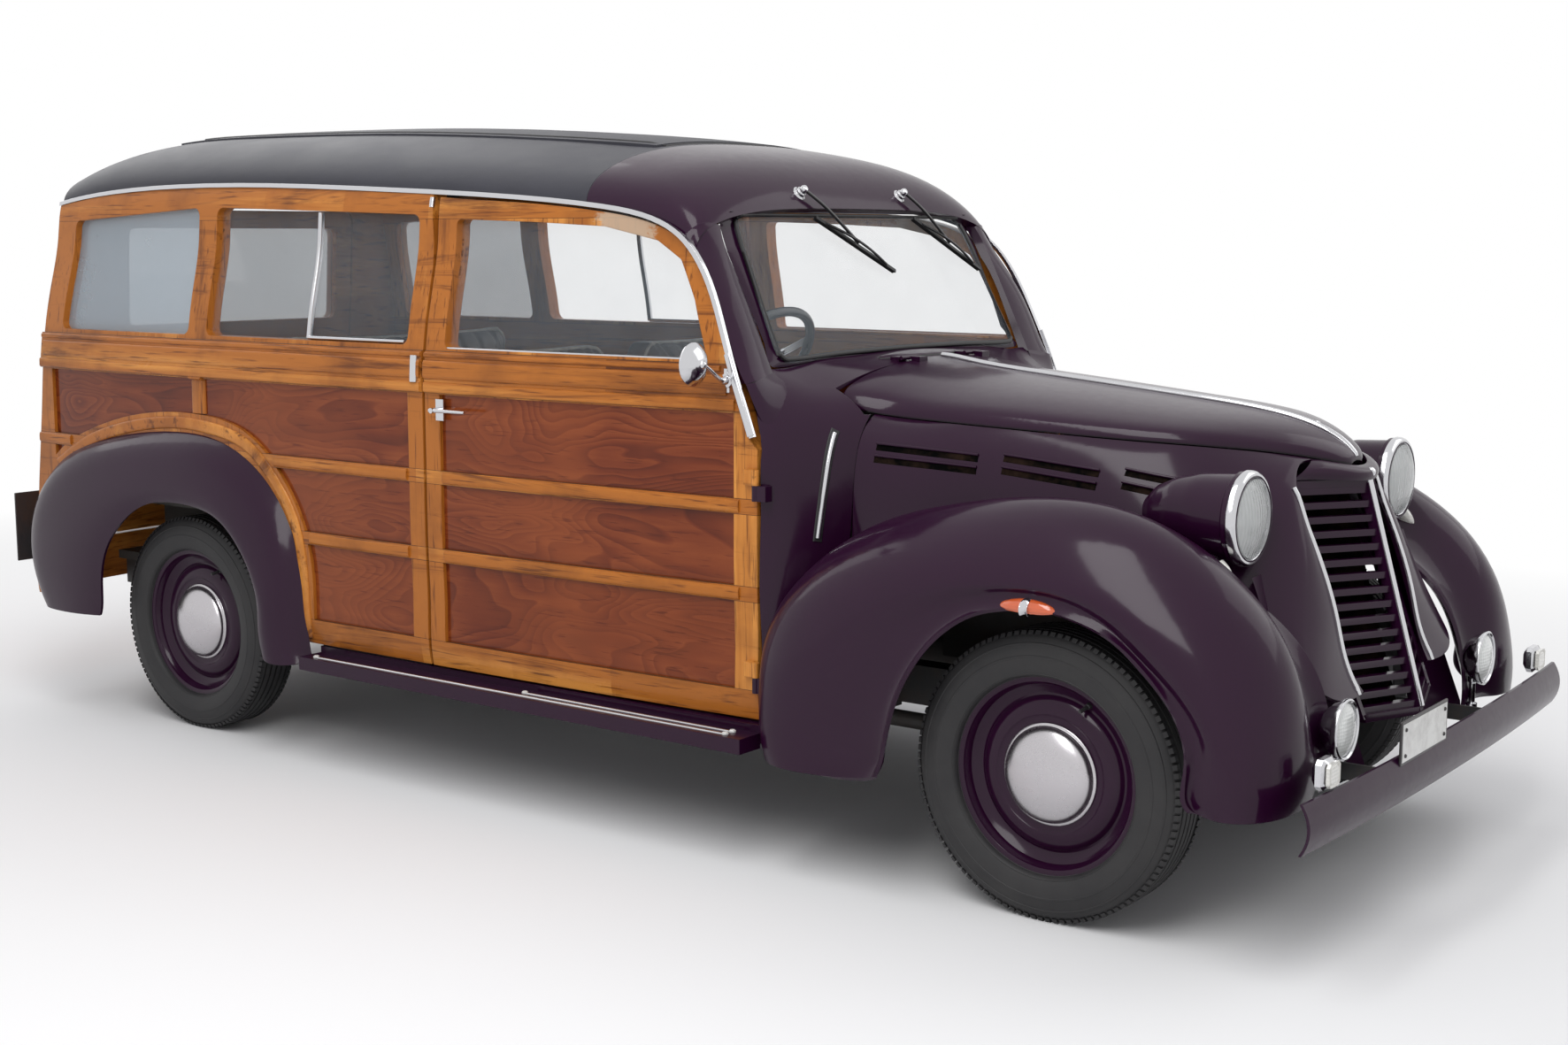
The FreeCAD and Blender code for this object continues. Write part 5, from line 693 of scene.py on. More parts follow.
def wheel(corner, side, sign):
    tail = "%s_%s" % (corner, side)
    body, tyre_node = "wheel_" + tail, "tyre_" + tail
    low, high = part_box(tyre_node)
    middle = (low + high) / 2
    axis = Vector((0, sign, 0))
    tyre = Shape().turned(tyre_outline(), middle, axis, 128)
    half_run, half_width = LUG_HALF
    for step in range(LUGS):
        turn = math.tau * step / LUGS
        out = Vector((math.cos(turn), 0, math.sin(turn)))
        run = out.cross(Vector((0, 1, 0)))
        for edge in (1, -1):
            spot = middle + (out * (TYRE_RADIUS - LUG_OUT) + Vector((0, edge * LUG_SIDE, 0))) * MILLIMETRE
            corners = [
                spot + (run * a + out * up + Vector((0, b - edge * up * LUG_SLANT, 0))) * MILLIMETRE
                for up in (-4.0, 4.2)
                for a, b in ((-half_run, -half_width), (half_run, -half_width), (half_run, half_width),
                             (-half_run, half_width))
            ]
            tyre.add(corners, LUG_FACES)
    tyre.piece("detailed_" + tyre_node, TYRE, body, replaces=[tyre_node])
    rim = Shape().turned(DISC, middle, axis, 96).turned(DISC_BACK, middle, axis, 96)
    rim.turned(HUB_BARREL, middle, axis, 48)
    for step in range(NUTS):
        turn = math.tau * step / NUTS + 0.4
        spot = middle + Vector((math.cos(turn) * NUT_CIRCLE, -sign * 0.006, math.sin(turn) * NUT_CIRCLE))
        rim.turned(WHEEL_NUT, spot, axis, 6)
    rim.piece("detailed_" + body, PAINT, body, slot="wheel_paint", replaces=[body])
    Shape().turned(cap_outline(), middle, axis, 96).piece("hub_cap_" + tail, SATIN, body)
    out = Vector((math.cos(VALVE_TURN), 0, math.sin(VALVE_TURN)))
    foot = middle + out * VALVE_CIRCLE + axis * 0.014
    Shape().turned(VALVE, foot, axis - out * 0.25, 16).piece("valve_" + tail, SEAL, body)


for wheel_end in ("front", "rear"):
    for wheel_side, wheel_sign in SIDES:
        wheel(wheel_end, wheel_side, wheel_sign)


# Roof seams.
def roof_trim():
    skin = Skin("roof_cloth", "windscreen_frame")
    front, back, half = 0.165, -1.600, 0.43 * HALF_WIDTH
    lines = {name: [skin.top(x, sign * half) for x in spread(back, front, 40)] for name, sign in SIDES}
    lines["front"] = [skin.top(front, y) for y in spread(-half, half, 24)]
    lines["rear"] = [skin.top(back, y) for y in spread(-half, half, 24)]
    for name, path in lines.items():
        Shape().swept(path, tube_section(3.2, 8)).piece("roof_piping_" + name, PIPING)


roof_trim()


# Headlamps.
HEADLAMP_X, HEADLAMP_Y, HEADLAMP_Z = 1.753, 0.409, 0.816


def headlamps():
    rims, bowls, bulbs = Shape(), Shape(), Shape()
    tilt = (1, 0, -math.tan(math.radians(3)))
    for sign in (1, -1):
        middle = (HEADLAMP_X, sign * HEADLAMP_Y, HEADLAMP_Z)
        rims.turned(HEADLAMP_RIM, middle, AHEAD, 72, True)
        bowls.turned(HEADLAMP_BOWL, middle, tilt, 48)
        bulbs.turned(BULB, middle, tilt, 20)
    rims.piece("headlamp_rims", CHROME)
    bowls.piece("headlamp_reflectors", REFLECTOR)
    bulbs.piece("headlamp_bulbs", FROSTED)


headlamps()


# Timber mouldings, glazing trim and bright pieces of the sides.
def moulding(width, height, round_off=0.35, steps=5):
    """Flat-topped moulding with round shoulders, as (across, out) points in millimetres."""
    half, corner = width / 2, min(width * round_off, height * 1.6)
    spots = [(half, -3)]
    for step in range(steps + 1):
        turn = math.pi / 2 * step / steps
        spots.append((half - corner + corner * math.cos(turn), height * math.sin(turn)))
    return spots + [(-a, b) for a, b in reversed(spots)]


# Lines on the sides, as (x, z) in metres, or as shares of the wheelbase and the height.
ARCH_EDGE = (
    (-0.217, 0.438), (-0.150, 0.491), (-0.056, 0.527), (0.031, 0.534), (0.113, 0.509), (0.164, 0.444),
    (0.194, 0.364), (0.203, 0.225), (0.204, 0.195),
)
ARCH_CENTRE, ARCH_INSET = (-0.03, 0.20), 0.030
GUTTER_END = ((0.7075, 0.669), (0.717, 0.631), (0.727, 0.589), (0.7325, 0.5642))
DOOR_EDGE, BODY_EDGE = DOOR_BACK + 3 * MILLIMETRE, DOOR_BACK - 11 * MILLIMETRE
# Rails over the belt: section, height, and where they stop on the body's back and the door's front.
BELT_RAILS = (
    (moulding(46, 6.5), 1.046, -1.905, 0.668), (moulding(26, 4), 1.003, -1.905, 0.690),
    (moulding(13, 4.5), 1.081, -1.895, 0.630),
)
RIB_BEAD = moulding(29, 5.5, 0.45)
RIB_RUNS = ((RIB_LEVELS[0], -0.846, -1.752), (RIB_LEVELS[1], -0.712, None))
POST_X = along(0.036)
GLASS_STRIP_Z = 1.0915
# The sliding pane's bar and channel, and the clips on the door's post.
PANE_BARS = (
    ("fixed_windows", ((-0.7225, 1.106), (-0.7225, 1.426)), 16, moulding(14, 9, 0.3)),
    ("fixed_windows", ((-0.7225, 1.108), (-0.345, 1.108)), 12, moulding(10, 8, 0.3)),
    ("body_side_", ((-0.300, 1.436), (-0.300, 1.474)), 6, moulding(13, 4.5, 0.3)),
    ("body_side_", ((-0.303, 1.014), (-0.303, 1.078)), 8, moulding(22, 11, 0.3)),
)
# Vent slots: first and last x, and the heights there.
VENTS = ((0.8955, 1.1315, 0.908, 0.894), (1.1895, 1.4075, 0.898, 0.878), (1.4615, 1.6400, 0.884, 0.858))
VENT_PITCH = 0.026
REPEATER_X, REPEATER_Z = 1.448, 0.655
# Repeater: half length, half height and depth of its glass and of its band.
REPEATER_LENS, REPEATER_BAND = (0.064, 0.0155, 0.012), (0.009, 0.0175, 0.0150)
CROWN_LAMP_X, CROWN_LAMP_LENGTH, CROWN_LAMP_Y = 1.6650, 0.0950, 0.500
CROWN_LAMP_HALF, CROWN_LAMP_HEIGHT, LAMP_SINK = 0.0165, 0.021, 0.002
BOARD_STRIPS = ((0.738, -0.660, 0.690), (0.712, 0.060, 0.690))


def side_timber(name, sign):
    door = Skin("door_" + name, "door_panels_" + name)
    rear = Skin("body_side_" + name, "side_panels")
    door_set, rear_set = Shape(), Shape()
    for section, height, back, front in BELT_RAILS:
        door_set.swept(side_path(door, ((DOOR_EDGE, height), (front, height)), sign, 30), section)
        rear_set.swept(side_path(rear, ((back, height), (BODY_EDGE, height)), sign, 44), section)
    for height, arch_front, arch_back in RIB_RUNS:
        door_set.swept(side_path(door, ((-0.2145, height), (0.680, height)), sign, 24), RIB_BEAD)
        rear_set.swept(side_path(rear, ((arch_front, height), (-0.341, height)), sign, 16), RIB_BEAD)
        if arch_back:
            rear_set.swept(side_path(rear, ((-1.930, height), (arch_back, height)), sign, 8), RIB_BEAD)
    door_set.piece("door_mouldings_" + name, RAIL_WOOD, "door_" + name)
    rear_set.piece("side_mouldings_" + name, RAIL_WOOD)
    post = side_path(rear, ((POST_X, 0.890), (POST_X, 0.992)), sign, 10)
    Shape().swept(post, moulding(56, 7.5, 0.12)).piece("panel_post_" + name, POST_WOOD)
    ring = []
    centre = Vector((along(ARCH_CENTRE[0]), level(ARCH_CENTRE[1])))
    for x_share, z_share in ARCH_EDGE:
        spot = Vector((along(x_share), level(z_share)))
        ring.append(spot + (centre - spot).normalized() * ARCH_INSET)
    arch = Shape().swept(side_path(rear, ring, sign, 70), moulding(34, 6, 0.45))
    arch.piece("arch_moulding_" + name, ARCH_WOOD)


def glazing_trim(name, sign):
    """Bright strip under the door's glass, the sliding pane's bars, clips, gutter foot and semaphore."""
    door = side_path(Skin("door_" + name), ((-0.206, GLASS_STRIP_Z), (0.590, GLASS_STRIP_Z)), sign, 24)
    strip = [(spot + Vector((0, -sign * 0.006, 0.006)), normal) for spot, normal in door]
    Shape().swept(strip, round_section(8, 4)).piece("glass_strip_" + name, CHROME, "door_" + name)
    bars = Shape()
    for node, points, count, section in PANE_BARS:
        skin = Skin(node + name if node.endswith("_") else node)
        bars.swept(side_path(skin, points, sign, count), section)
    bars.piece("side_bright_" + name, CHROME)
    gutter = Skin("roof_gutters")
    line = smooth_line([(along(x_share), 0, level(z_share)) for x_share, z_share in GUTTER_END], 16)
    hits = [gutter.side(spot.x, spot.z, sign) for spot in line]
    foot = [(hit[0], Vector((0, sign, 0))) for hit in hits if hit]
    Shape().swept(foot, moulding(19, 4.5, 0.45)).piece("gutter_foot_" + name, CHROME)
    cowl = Skin("cowl")
    bed = side_path(cowl, ((0.8170, 0.705), (0.8175, 0.945)), sign, 20)
    Shape().swept(bed, moulding(22, 2, 0.3)).piece("semaphore_bed_" + name, SEAL)
    arm = side_path(cowl, ((0.8170, 0.712), (0.8175, 0.938)), sign, 20)
    Shape().swept(arm, moulding(13, 7.5, 0.4)).piece("semaphore_arm_" + name, CHROME)


def vents(name, sign):
    """Three pairs of slots in the nose's side, each a near-black strip laid on the surface, painted shade for
    the opening, with a raised painted lip.
    """
    skin = Skin("nose")
    slots, lips = Shape(), Shape()
    for first, last, low, high in VENTS:
        for drop in (0.0, VENT_PITCH):
            path = side_path(skin, ((first, low - drop), (last, high - drop)), sign, 26)
            slots.swept(path, moulding(14.5, 0.8, 0.3))
            for rise, section in ((0.0090, round_section(6, 2.6, 6)), (-0.0088, round_section(4, 1.6, 6))):
                lips.swept([(spot + UP * rise, normal) for spot, normal in path], section)
    # The slots are painted shade: near-black strips on the nose, not holes.
    slots.piece("vent_slots_" + name, PAINTED_SHADE)
    lips.piece("vent_lips_" + name, PAINT)


def across_from(normal, direction):
    """The direction laid flat on a surface with that normal."""
    return (direction - normal * direction.dot(normal)).normalized()


def repeater(name, sign):
    """Amber repeater on the arch's lip, with a bright band round its middle."""
    skin = Skin("front_fenders")
    middle = skin.side(REPEATER_X, REPEATER_Z, sign)[0]
    for label, finish, (half, tall, deep) in (
        ("lens", ORANGE_LENS, REPEATER_LENS), ("band", CHROME, REPEATER_BAND),
    ):
        spots = []
        for share in spread(-1, 1, 21):
            bulge = math.sqrt(max(1 - share * share, 0.0004)) if label == "lens" else 1
            base, out = skin.side(middle.x + half * share, middle.z + 0.004 * (1 - share * share), sign)
            up = across_from(out, UP)
            for turn in spread(0, math.pi, 9):
                rise, depth = tall * bulge * math.cos(turn), deep * bulge * math.sin(turn) - LAMP_SINK
                spots.append(base + up * rise + out * depth)
        shape = Shape().add(spots, quads(21, 9))
        for first in (0, len(spots) - 9):
            shape.add(spots[first:first + 9], [tuple(range(9))])
        shape.piece("repeater_%s_%s" % (label, name), finish)


def crown_lamp(name, sign):
    """Teardrop lamp on the fender's crown, with a white tip."""
    skin = Skin("front_fenders")
    for label, finish, shares, lift in (
        ("crown_lamp_", CHROME, spread(0, 1, 16), 0.0),
        ("crown_lamp_lens_", WHITE_LENS, spread(0.62, 1, 8), 0.0016),
    ):
        spots = []
        for share in shares:
            fat = math.sin(math.pi * min(share, 0.999) ** 1.35) ** 0.7 if 0 < share < 1 else 0.02
            base, up = skin.top(CROWN_LAMP_X + CROWN_LAMP_LENGTH * share, sign * CROWN_LAMP_Y)
            right = across_from(up, Vector((0, 1, 0)))
            for turn in spread(0, math.pi, 11):
                aside = (CROWN_LAMP_HALF * fat + lift) * math.cos(turn)
                rise = (CROWN_LAMP_HEIGHT * fat + lift) * math.sin(turn) - LAMP_SINK
                spots.append(base + right * aside + up * rise)
        Shape().add(spots, quads(len(shares), 11)).piece(label + name, finish)


def board_strips(name, sign):
    skin = Skin("running_boards")
    bright, ends = Shape(), Shape()
    for y, first, last in BOARD_STRIPS:
        path = [hit for hit in (skin.top(x, sign * y) for x in spread(first, last, 24)) if hit]
        bright.swept(path, moulding(9, 3.2, 0.4))
        for spot, normal in (path[0], path[-1]):
            ends.turned(STRIP_END, spot, normal, 20)
    bright.piece("board_strips_" + name, CHROME)
    ends.piece("board_strip_ends_" + name, PLATE)


for side_name, side_sign in SIDES:
    for dress_side in (side_timber, glazing_trim, vents, repeater, crown_lamp, board_strips):
        dress_side(side_name, side_sign)


# Grille, lamps and small pieces of the front. A leaning line has its x, the height there, and its lean.
RIDGE = (1.8407, 0.84, 0.2805)
GRILLE_EDGE_Y, GRILLE_EDGE_Z = 0.2165, (0.858, 0.432)
SCREEN_DEPTH, SCREEN_SLOPE = 0.052, 0.44
APRON_LOW, APRON_HIGH, APRON_Y, APRON_WIDTH = 0.290, 0.700, 0.170, 0.250
APRON_INNER, APRON_OUTER = (1.7375, 0.80, 0.347), (1.797, 0.614, 0.39)
APRON_FRONT, APRON_HOLLOW = 1.916, 0.012
FOG_LAMP_X, FOG_LAMP_Y, FOG_LAMP_Z = 1.9636, 0.417, 0.423
# Signal lamps: lowest and highest corner of the left one.
SIGNAL_LOW, SIGNAL_HIGH = Vector((1.9931, 0.6000, 0.3623)), Vector((2.0291, 0.6600, 0.4203))
# Wipers, the left and the right one: pivot's y, the arm's reach and the blade's length across.
WIPERS = ((0.205, 0.154, 0.220), (-0.221, 0.166, 0.245))
WIPER_Z, WIPER_TOP, KNEE_DROP = 1.466, 0.019, 0.124
BLADE_Y, BLADE_Z, BLADE_DROP = 0.045, -0.060, 0.130
SCREEN_EDGE = (
    (0, 1.1005), (0.255, 1.0985), (0.46, 1.0935), (0.500, 1.1010), (0.5125, 1.130), (0.4950, 1.30),
    (0.4810, 1.385), (0.462, 1.4080), (0.430, 1.4140), (0.20, 1.4145), (0, 1.4145),
)
SCREEN_MIDDLE = Vector((0, 0, 1.26))
# Windscreen's surround: reach outwards from the seal, and depth behind it.
SURROUND = ((-0.004, 0.0065), (0.020, 0.0080), (0.042, 0.0130))
# Fillets under the pillars: their upper edge, and their lower edge seen from above.
PILLAR_END = (
    (0.6885, 0.556, 1.0690), (0.6965, 0.590, 1.0650), (0.7035, 0.628, 1.0580), (0.7030, 0.650, 1.0520),
    (0.6925, 0.6645, 1.0500),
)
PILLAR_FOOT = (
    (0.7360, 0.500, 0), (0.7560, 0.545, 0), (0.7620, 0.590, 0), (0.7500, 0.622, 0), (0.7300, 0.642, 0),
)
PILLAR_RUN = Vector((0.030, 0.004, -0.055))
LID_X, LID_HALF_LENGTH, LID_HALF_WIDTH = 0.7190, 0.0270, 0.1850
# Rings of the lid: share of its size, and height over the cowl.
LID_RINGS = ((1.0, -0.001), (0.985, 0.0030), (0.93, 0.0042), (0.70, 0.0050), (0.40, 0.0054), (0.02, 0.0056))


def leaning(line, z):
    x, height, lean = line
    return x + (height - z) * lean


def grille_trim():
    nose = Skin("nose", "grille")
    strips = Shape()
    for sign in (1, -1):
        hits = [nose.front(sign * (GRILLE_EDGE_Y - 0.010 * max(0, 0.60 - z)), z)
                for z in spread(*GRILLE_EDGE_Z, 30)]
        strips.swept([(hit[0], Vector((0.93, 0, 0.36))) for hit in hits if hit], moulding(11, 6, 0.4))
    ridge = [(Vector((leaning(RIDGE, z) + 0.0005, 0, z)), Vector((0.96, 0, 0.27)))
             for z in spread(0.862, 0.392, 24)]
    strips.swept(ridge, moulding(12, 7, 0.4))
    strips.piece("grille_strips", CHROME)
    # Near-black sheet behind the slats: painted shade for the dark space behind the grille.
    spots = [Vector((leaning(RIDGE, z) - SCREEN_DEPTH - abs(y) * SCREEN_SLOPE, y, z))
             for z in spread(0.866, 0.372, 20) for y in spread(-0.245, 0.245, 15)]
    Shape().add(spots, quads(20, 15)).piece("grille_screen", PAINTED_SHADE)


def front_aprons():
    """Painted sheets that close the gap between the nose and the front fenders."""
    aprons = Shape()
    for sign in (1, -1):
        spots = []
        for z in spread(APRON_LOW, APRON_HIGH, 16):
            inner_x, outer_x = leaning(APRON_INNER, z), min(APRON_FRONT, leaning(APRON_OUTER, z))
            for share in spread(0, 1, 12):
                x = inner_x + (outer_x - inner_x) * share - APRON_HOLLOW * math.sin(math.pi * share)
                spots.append(Vector((x, sign * (APRON_Y + APRON_WIDTH * share), z)))
        aprons.add(spots, quads(16, 12))
    aprons.piece("front_aprons", PAINT)


def nose_fittings():
    cap = Shape().turned(GRILLE_CAP, (1.833, 0, 0.872), (0.75, 0, 0.66), 24)
    cap.piece("grille_cap", CHROME)
    latch = Shape().turned(NOSE_LATCH, (1.700, 0.034, 0.955), (0.2, 0.2, 0.95), 20)
    latch.piece("nose_latch", CHROME, "hood")


def fog_and_signal_lamps():
    shells, lenses, housings, panes = Shape(), Shape(), Shape(), Shape()
    for sign in (1, -1):
        middle = Vector((FOG_LAMP_X, sign * FOG_LAMP_Y, FOG_LAMP_Z))
        shells.turned(FOG_SHELL, middle, AHEAD, 56)
        lenses.turned(FOG_LENS, middle, AHEAD, 56)
        shells.turned(FOG_STALK, middle + Vector((-0.024, 0, -0.045)), UP, 24)
        low, high = SIGNAL_LOW.copy(), SIGNAL_HIGH.copy()
        low.y, high.y = sorted((sign * low.y, sign * high.y))
        housings.brick(low, high - AHEAD * 0.006, 0.009)
        inset = Vector((0, 0.004, 0.006))
        panes.brick(low + inset + AHEAD * 0.029, high - inset, 0.007)
    shells.piece("fog_lamp_shells", CHROME, slot="lamp_chrome", replaces=["fog_lamps"])
    lenses.piece("fog_lamp_lenses", FROSTED)
    housings.piece("signal_housings", CHROME, slot="lamp_chrome", replaces=["signal_lamps"])
    panes.piece("signal_lenses", WHITE_LENS)


def wipers():
    skin = Skin("windscreen_frame", "fixed_windows")
    arms, blades, hubs = Shape(), Shape(), Shape()
    for pivot_y, reach, length in WIPERS:
        foot, out = skin.front(pivot_y, WIPER_Z)
        hubs.turned(WIPER_HUB, foot, out, 28)
        start = foot + out * WIPER_TOP
        knee = skin.front(foot.y + reach, foot.z - KNEE_DROP)
        middle = start + (knee[0] - start) * 0.4 + out * 0.014
        arm = smooth_line([start, middle, knee[0] + knee[1] * 0.020], 14)
        arms.swept([(spot, out) for spot in arm], moulding(9, 3, 0.4))
        hits = [skin.front(foot.y + BLADE_Y + length * share, foot.z + BLADE_Z - BLADE_DROP * share)
                for share in spread(0, 1, 18)]
        line = [(spot + normal * 0.004, normal) for spot, normal in hits]
        blades.swept(line, BLADE)
        bridge = [(spot + normal * (0.010 + 0.012 * math.sin(math.pi * share)), normal)
                  for share, (spot, normal) in zip(spread(0, 1, len(line) - 4), line[2:-2])]
        arms.swept(bridge, moulding(6, 1.6, 0.4))
    arms.piece("wiper_arms", BAKELITE)
    blades.piece("wiper_blades", SEAL)
    hubs.piece("wiper_hubs", CHROME)


def screen_seal():
    """Rubber bead round the windscreen's glass, and the painted sheet behind it up to the pillars."""
    skin = Skin("fixed_windows", "windscreen_frame", "cowl")
    ring = [(0, y, z) for y, z in SCREEN_EDGE] + [(0, -y, z) for y, z in reversed(SCREEN_EDGE[1:-1])]
    hits = [skin.front(spot.y, spot.z) for spot in smooth_line(ring + ring[:1], 130)[:-1]]
    path = [hit for hit in hits if hit]
    Shape().swept(path, round_section(12, 4.5, 6), closed=True).piece("windscreen_seal", SEAL)
    spots = []
    for reach, depth in SURROUND:
        for spot, normal in path:
            out = across_from(normal, Vector((0, spot.y, spot.z)) - SCREEN_MIDDLE)
            spots.append(spot + out * reach - normal * depth)
    surround = Shape().add(spots, quads(3, len(path), False, True))
    surround.piece("windscreen_surround", PAINT)


def pillar_feet():
    """Painted fillets from the ends of the windscreen's pillars down onto the cowl."""
    skin = Skin("cowl")
    for name, sign in SIDES:
        spots = []
        for start, target in zip(smooth_line(PILLAR_END, 17), smooth_line(PILLAR_FOOT, 17)):
            end = skin.top(target.x, sign * target.y)[0]
            end = Vector((end.x, abs(end.y), end.z - 0.0015))
            leave = (end - start) * 0.9
            leave.z = -abs(leave.x) * 0.25 - 0.004
            for t in spread(0, 1, 10):
                a, b = 2 * t ** 3 - 3 * t ** 2 + 1, t ** 3 - 2 * t ** 2 + t
                c, d = -2 * t ** 3 + 3 * t ** 2, t ** 3 - t ** 2
                spot = start * a + PILLAR_RUN * b + end * c + leave * d
                spots.append(Vector((spot.x, sign * spot.y, spot.z)))
        Shape().add(spots, quads(17, 10)).piece("pillar_foot_" + name, PAINT)


def cowl_lid():
    """Oval air vent plate in front of the windscreen, standing a little proud of a black seam."""
    skin = Skin("cowl")
    steps = 72
    rings = []
    for share, lift in LID_RINGS:
        for step in range(steps):
            turn = math.tau * step / steps
            spot, normal = skin.top(LID_X + LID_HALF_LENGTH * share * math.cos(turn),
                                    LID_HALF_WIDTH * share * math.sin(turn))
            rings.append((spot, normal, lift))
    lid = Shape().add([spot + normal * lift for spot, normal, lift in rings], quads(6, steps, False, True))
    lid.piece("cowl_lid", PAINT)
    seam = [(spot, normal) for spot, normal, lift in rings[:steps]]
    Shape().swept(seam, tube_section(2.4, 8), closed=True).piece("cowl_lid_seal", SEAL)


# Back of the car.
ROOF_EDGE_Z, TIMBER_EDGE_Z, VALANCE_HALF = (1.400, 1.660, 66), (1.560, 1.380, 46), 0.585
REAR_FACE_X = -1.70
FIELD_LEFT, FIELD_RIGHT = -0.405, 0.392
FIELD_HEIGHTS = ((0.515, 0.571), (0.608, 0.764), (0.802, 0.984))
REAR_HANDLE_Y, REAR_HANDLE_Z = 0.350, 1.020


def first_at_back(skin, y, heights):
    """First hit from behind, down or up a list of heights, that lies on the car's back."""
    hits = (skin.back(y, z) for z in spread(*heights))
    return next((hit for hit in hits if hit and hit[0].x < REAR_FACE_X), None)


def rear_header():
    """Cloth valance that closes the back of the roof down to the timber."""
    roof, timber = Skin("roof_cloth"), Skin("rear_frame")
    spots = []
    for y in spread(-VALANCE_HALF, VALANCE_HALF, 60):
        edge, head = first_at_back(roof, y, ROOF_EDGE_Z), first_at_back(timber, y, TIMBER_EDGE_Z)
        if edge and head:
            upper = edge[0] + Vector((0.006, 0, 0.010))
            lower = head[0] + Vector((-0.0015, 0, -0.014))
            spots += [upper.lerp(lower, share) + BEHIND * (0.004 * math.sin(math.pi * share))
                      for share in spread(0, 1, 8)]
            spots += [upper.lerp(lower, share) + AHEAD * 0.004 for share in spread(1, 0, 8)]
    Shape().add(spots, quads(len(spots) // 16, 16, False, True)).piece("rear_valance", CLOTH)


def rear_panels():
    """Plywood fields and beads on the rear door, its handle and the lamps' bright rings."""
    door = Skin("rear_door")
    fields, beads, bright, rings = Shape(), Shape(), Shape(), Shape()
    for low, high in FIELD_HEIGHTS:
        rows = []
        for z in spread(low, high, 8):
            row = [door.back(y, z) for y in spread(FIELD_LEFT, FIELD_RIGHT, 24)]
            rows.append([hit[0] + hit[1] * 0.0012 for hit in row if hit])
        width = min(len(row) for row in rows)
        fields.add([spot for row in rows for spot in row[:width]], quads(len(rows), width))
        loop = [(y, low) for y in spread(FIELD_LEFT, FIELD_RIGHT, 20)[:-1]]
        loop += [(FIELD_RIGHT, z) for z in spread(low, high, 6)[:-1]]
        loop += [(y, high) for y in spread(FIELD_RIGHT, FIELD_LEFT, 20)[:-1]]
        loop += [(FIELD_LEFT, z) for z in spread(high, low, 6)[:-1]]
        path = [hit for hit in (door.back(y, z) for y, z in loop) if hit]
        beads.swept(path, round_section(10, 5, 6), closed=True)
    fields.piece("rear_door_fields", PANEL_WOOD, "rear_door")
    beads.piece("rear_door_beads", RAIL_WOOD, "rear_door")
    foot, out = door.back(REAR_HANDLE_Y, REAR_HANDLE_Z)
    bright.turned(HANDLE_ROSE, foot, out, 36)
    bright.turned(HANDLE_STEM, foot, out, 24)
    lever = [(foot + out * 0.028 + Vector((0, reach, 0)), out) for reach in spread(-0.045, 0.045, 9)]
    bright.swept(lever, moulding(13, 8, 0.45))
    bright.piece("rear_door_handle", CHROME, "rear_door")
    for sign in (1, -1):
        low, high = extent("tail_lamps", 1, sign)
        edge = (high.z - low.z) / 2 / MILLIMETRE
        middle = (low + high) / 2 + BEHIND * (high.x - low.x) * 0.05
        ring = ((edge - 1, 4), (edge + 1, 6), (edge + 4.5, 4.5), (edge + 5, -4), (edge - 1, -6))
        rings.turned(ring, middle, BEHIND, 48, True)
    rings.piece("tail_lamp_rings", CHROME)


for dress_end in (
    rear_header, rear_panels, grille_trim, front_aprons, nose_fittings, fog_and_signal_lamps, wipers,
    screen_seal, pillar_feet, cowl_lid,
):
    dress_end()


# Cabin: stuffed leather seats, steering wheel, instruments and mirror. Places and sizes in metres.
CLOTH_VOXEL, CLOTH_FRAMES, CLOTH_PRESSURE, SWELL_CAP = 0.013, 20, 4, 0.022
CHANNEL_PITCH, SEAM_INSET = 0.072, 0.062
SEAT_LOW, SEAT_TOP, BACK_TOP, SEAT_EDGE = 0.4925, 0.626, 1.098, 0.026
# Seats: first and last x of the cushion and of the back, and the inner and outer y.
FRONT_SEAT = (-0.206, 0.252, -0.326, -0.220, 0.067, 0.533)
REAR_SEAT = (-1.070, -0.612, -1.190, -1.084, -0.443, 0.443)
PIPING_CORNER, PIPING_DROP = 0.070, 0.36
STEERING_HUB, STEERING_TILT = Vector((0.4219, -0.3297, 1.0356)), math.radians(40)
STEERING_RIM = [(205 + x, z) for x, z in tube_section(11.5, 14)]
# Dials: y and radius in metres; their marks run over DIAL_SWEEP.
DIALS, DIAL_Z = ((-0.405, 0.047), (-0.255, 0.047), (-0.150, 0.026)), 0.925
DIAL_MARKS, DIAL_SWEEP, MARKS_END = 21, math.radians(135), 0.84
KNOBS_Y, KNOBS_Z = (-0.060, 0.100, 5), 0.893
GLOVE_BOX = ((0.220, 0.872), (0.520, 0.872), (0.520, 0.976), (0.220, 0.976))
MIRROR_HEAD, MIRROR_FOOT_X, MIRROR_FOOT_Z = Vector((0.6375, -0.776, 1.0956)), 0.6500, 1.0560


def settle(item):
    """Gives an object the mesh that its modifiers make of it."""
    graph = bpy.context.evaluated_depsgraph_get()
    data = bpy.data.meshes.new_from_object(item.evaluated_get(graph), depsgraph=graph)
    item.modifiers.clear()
    item.data = data


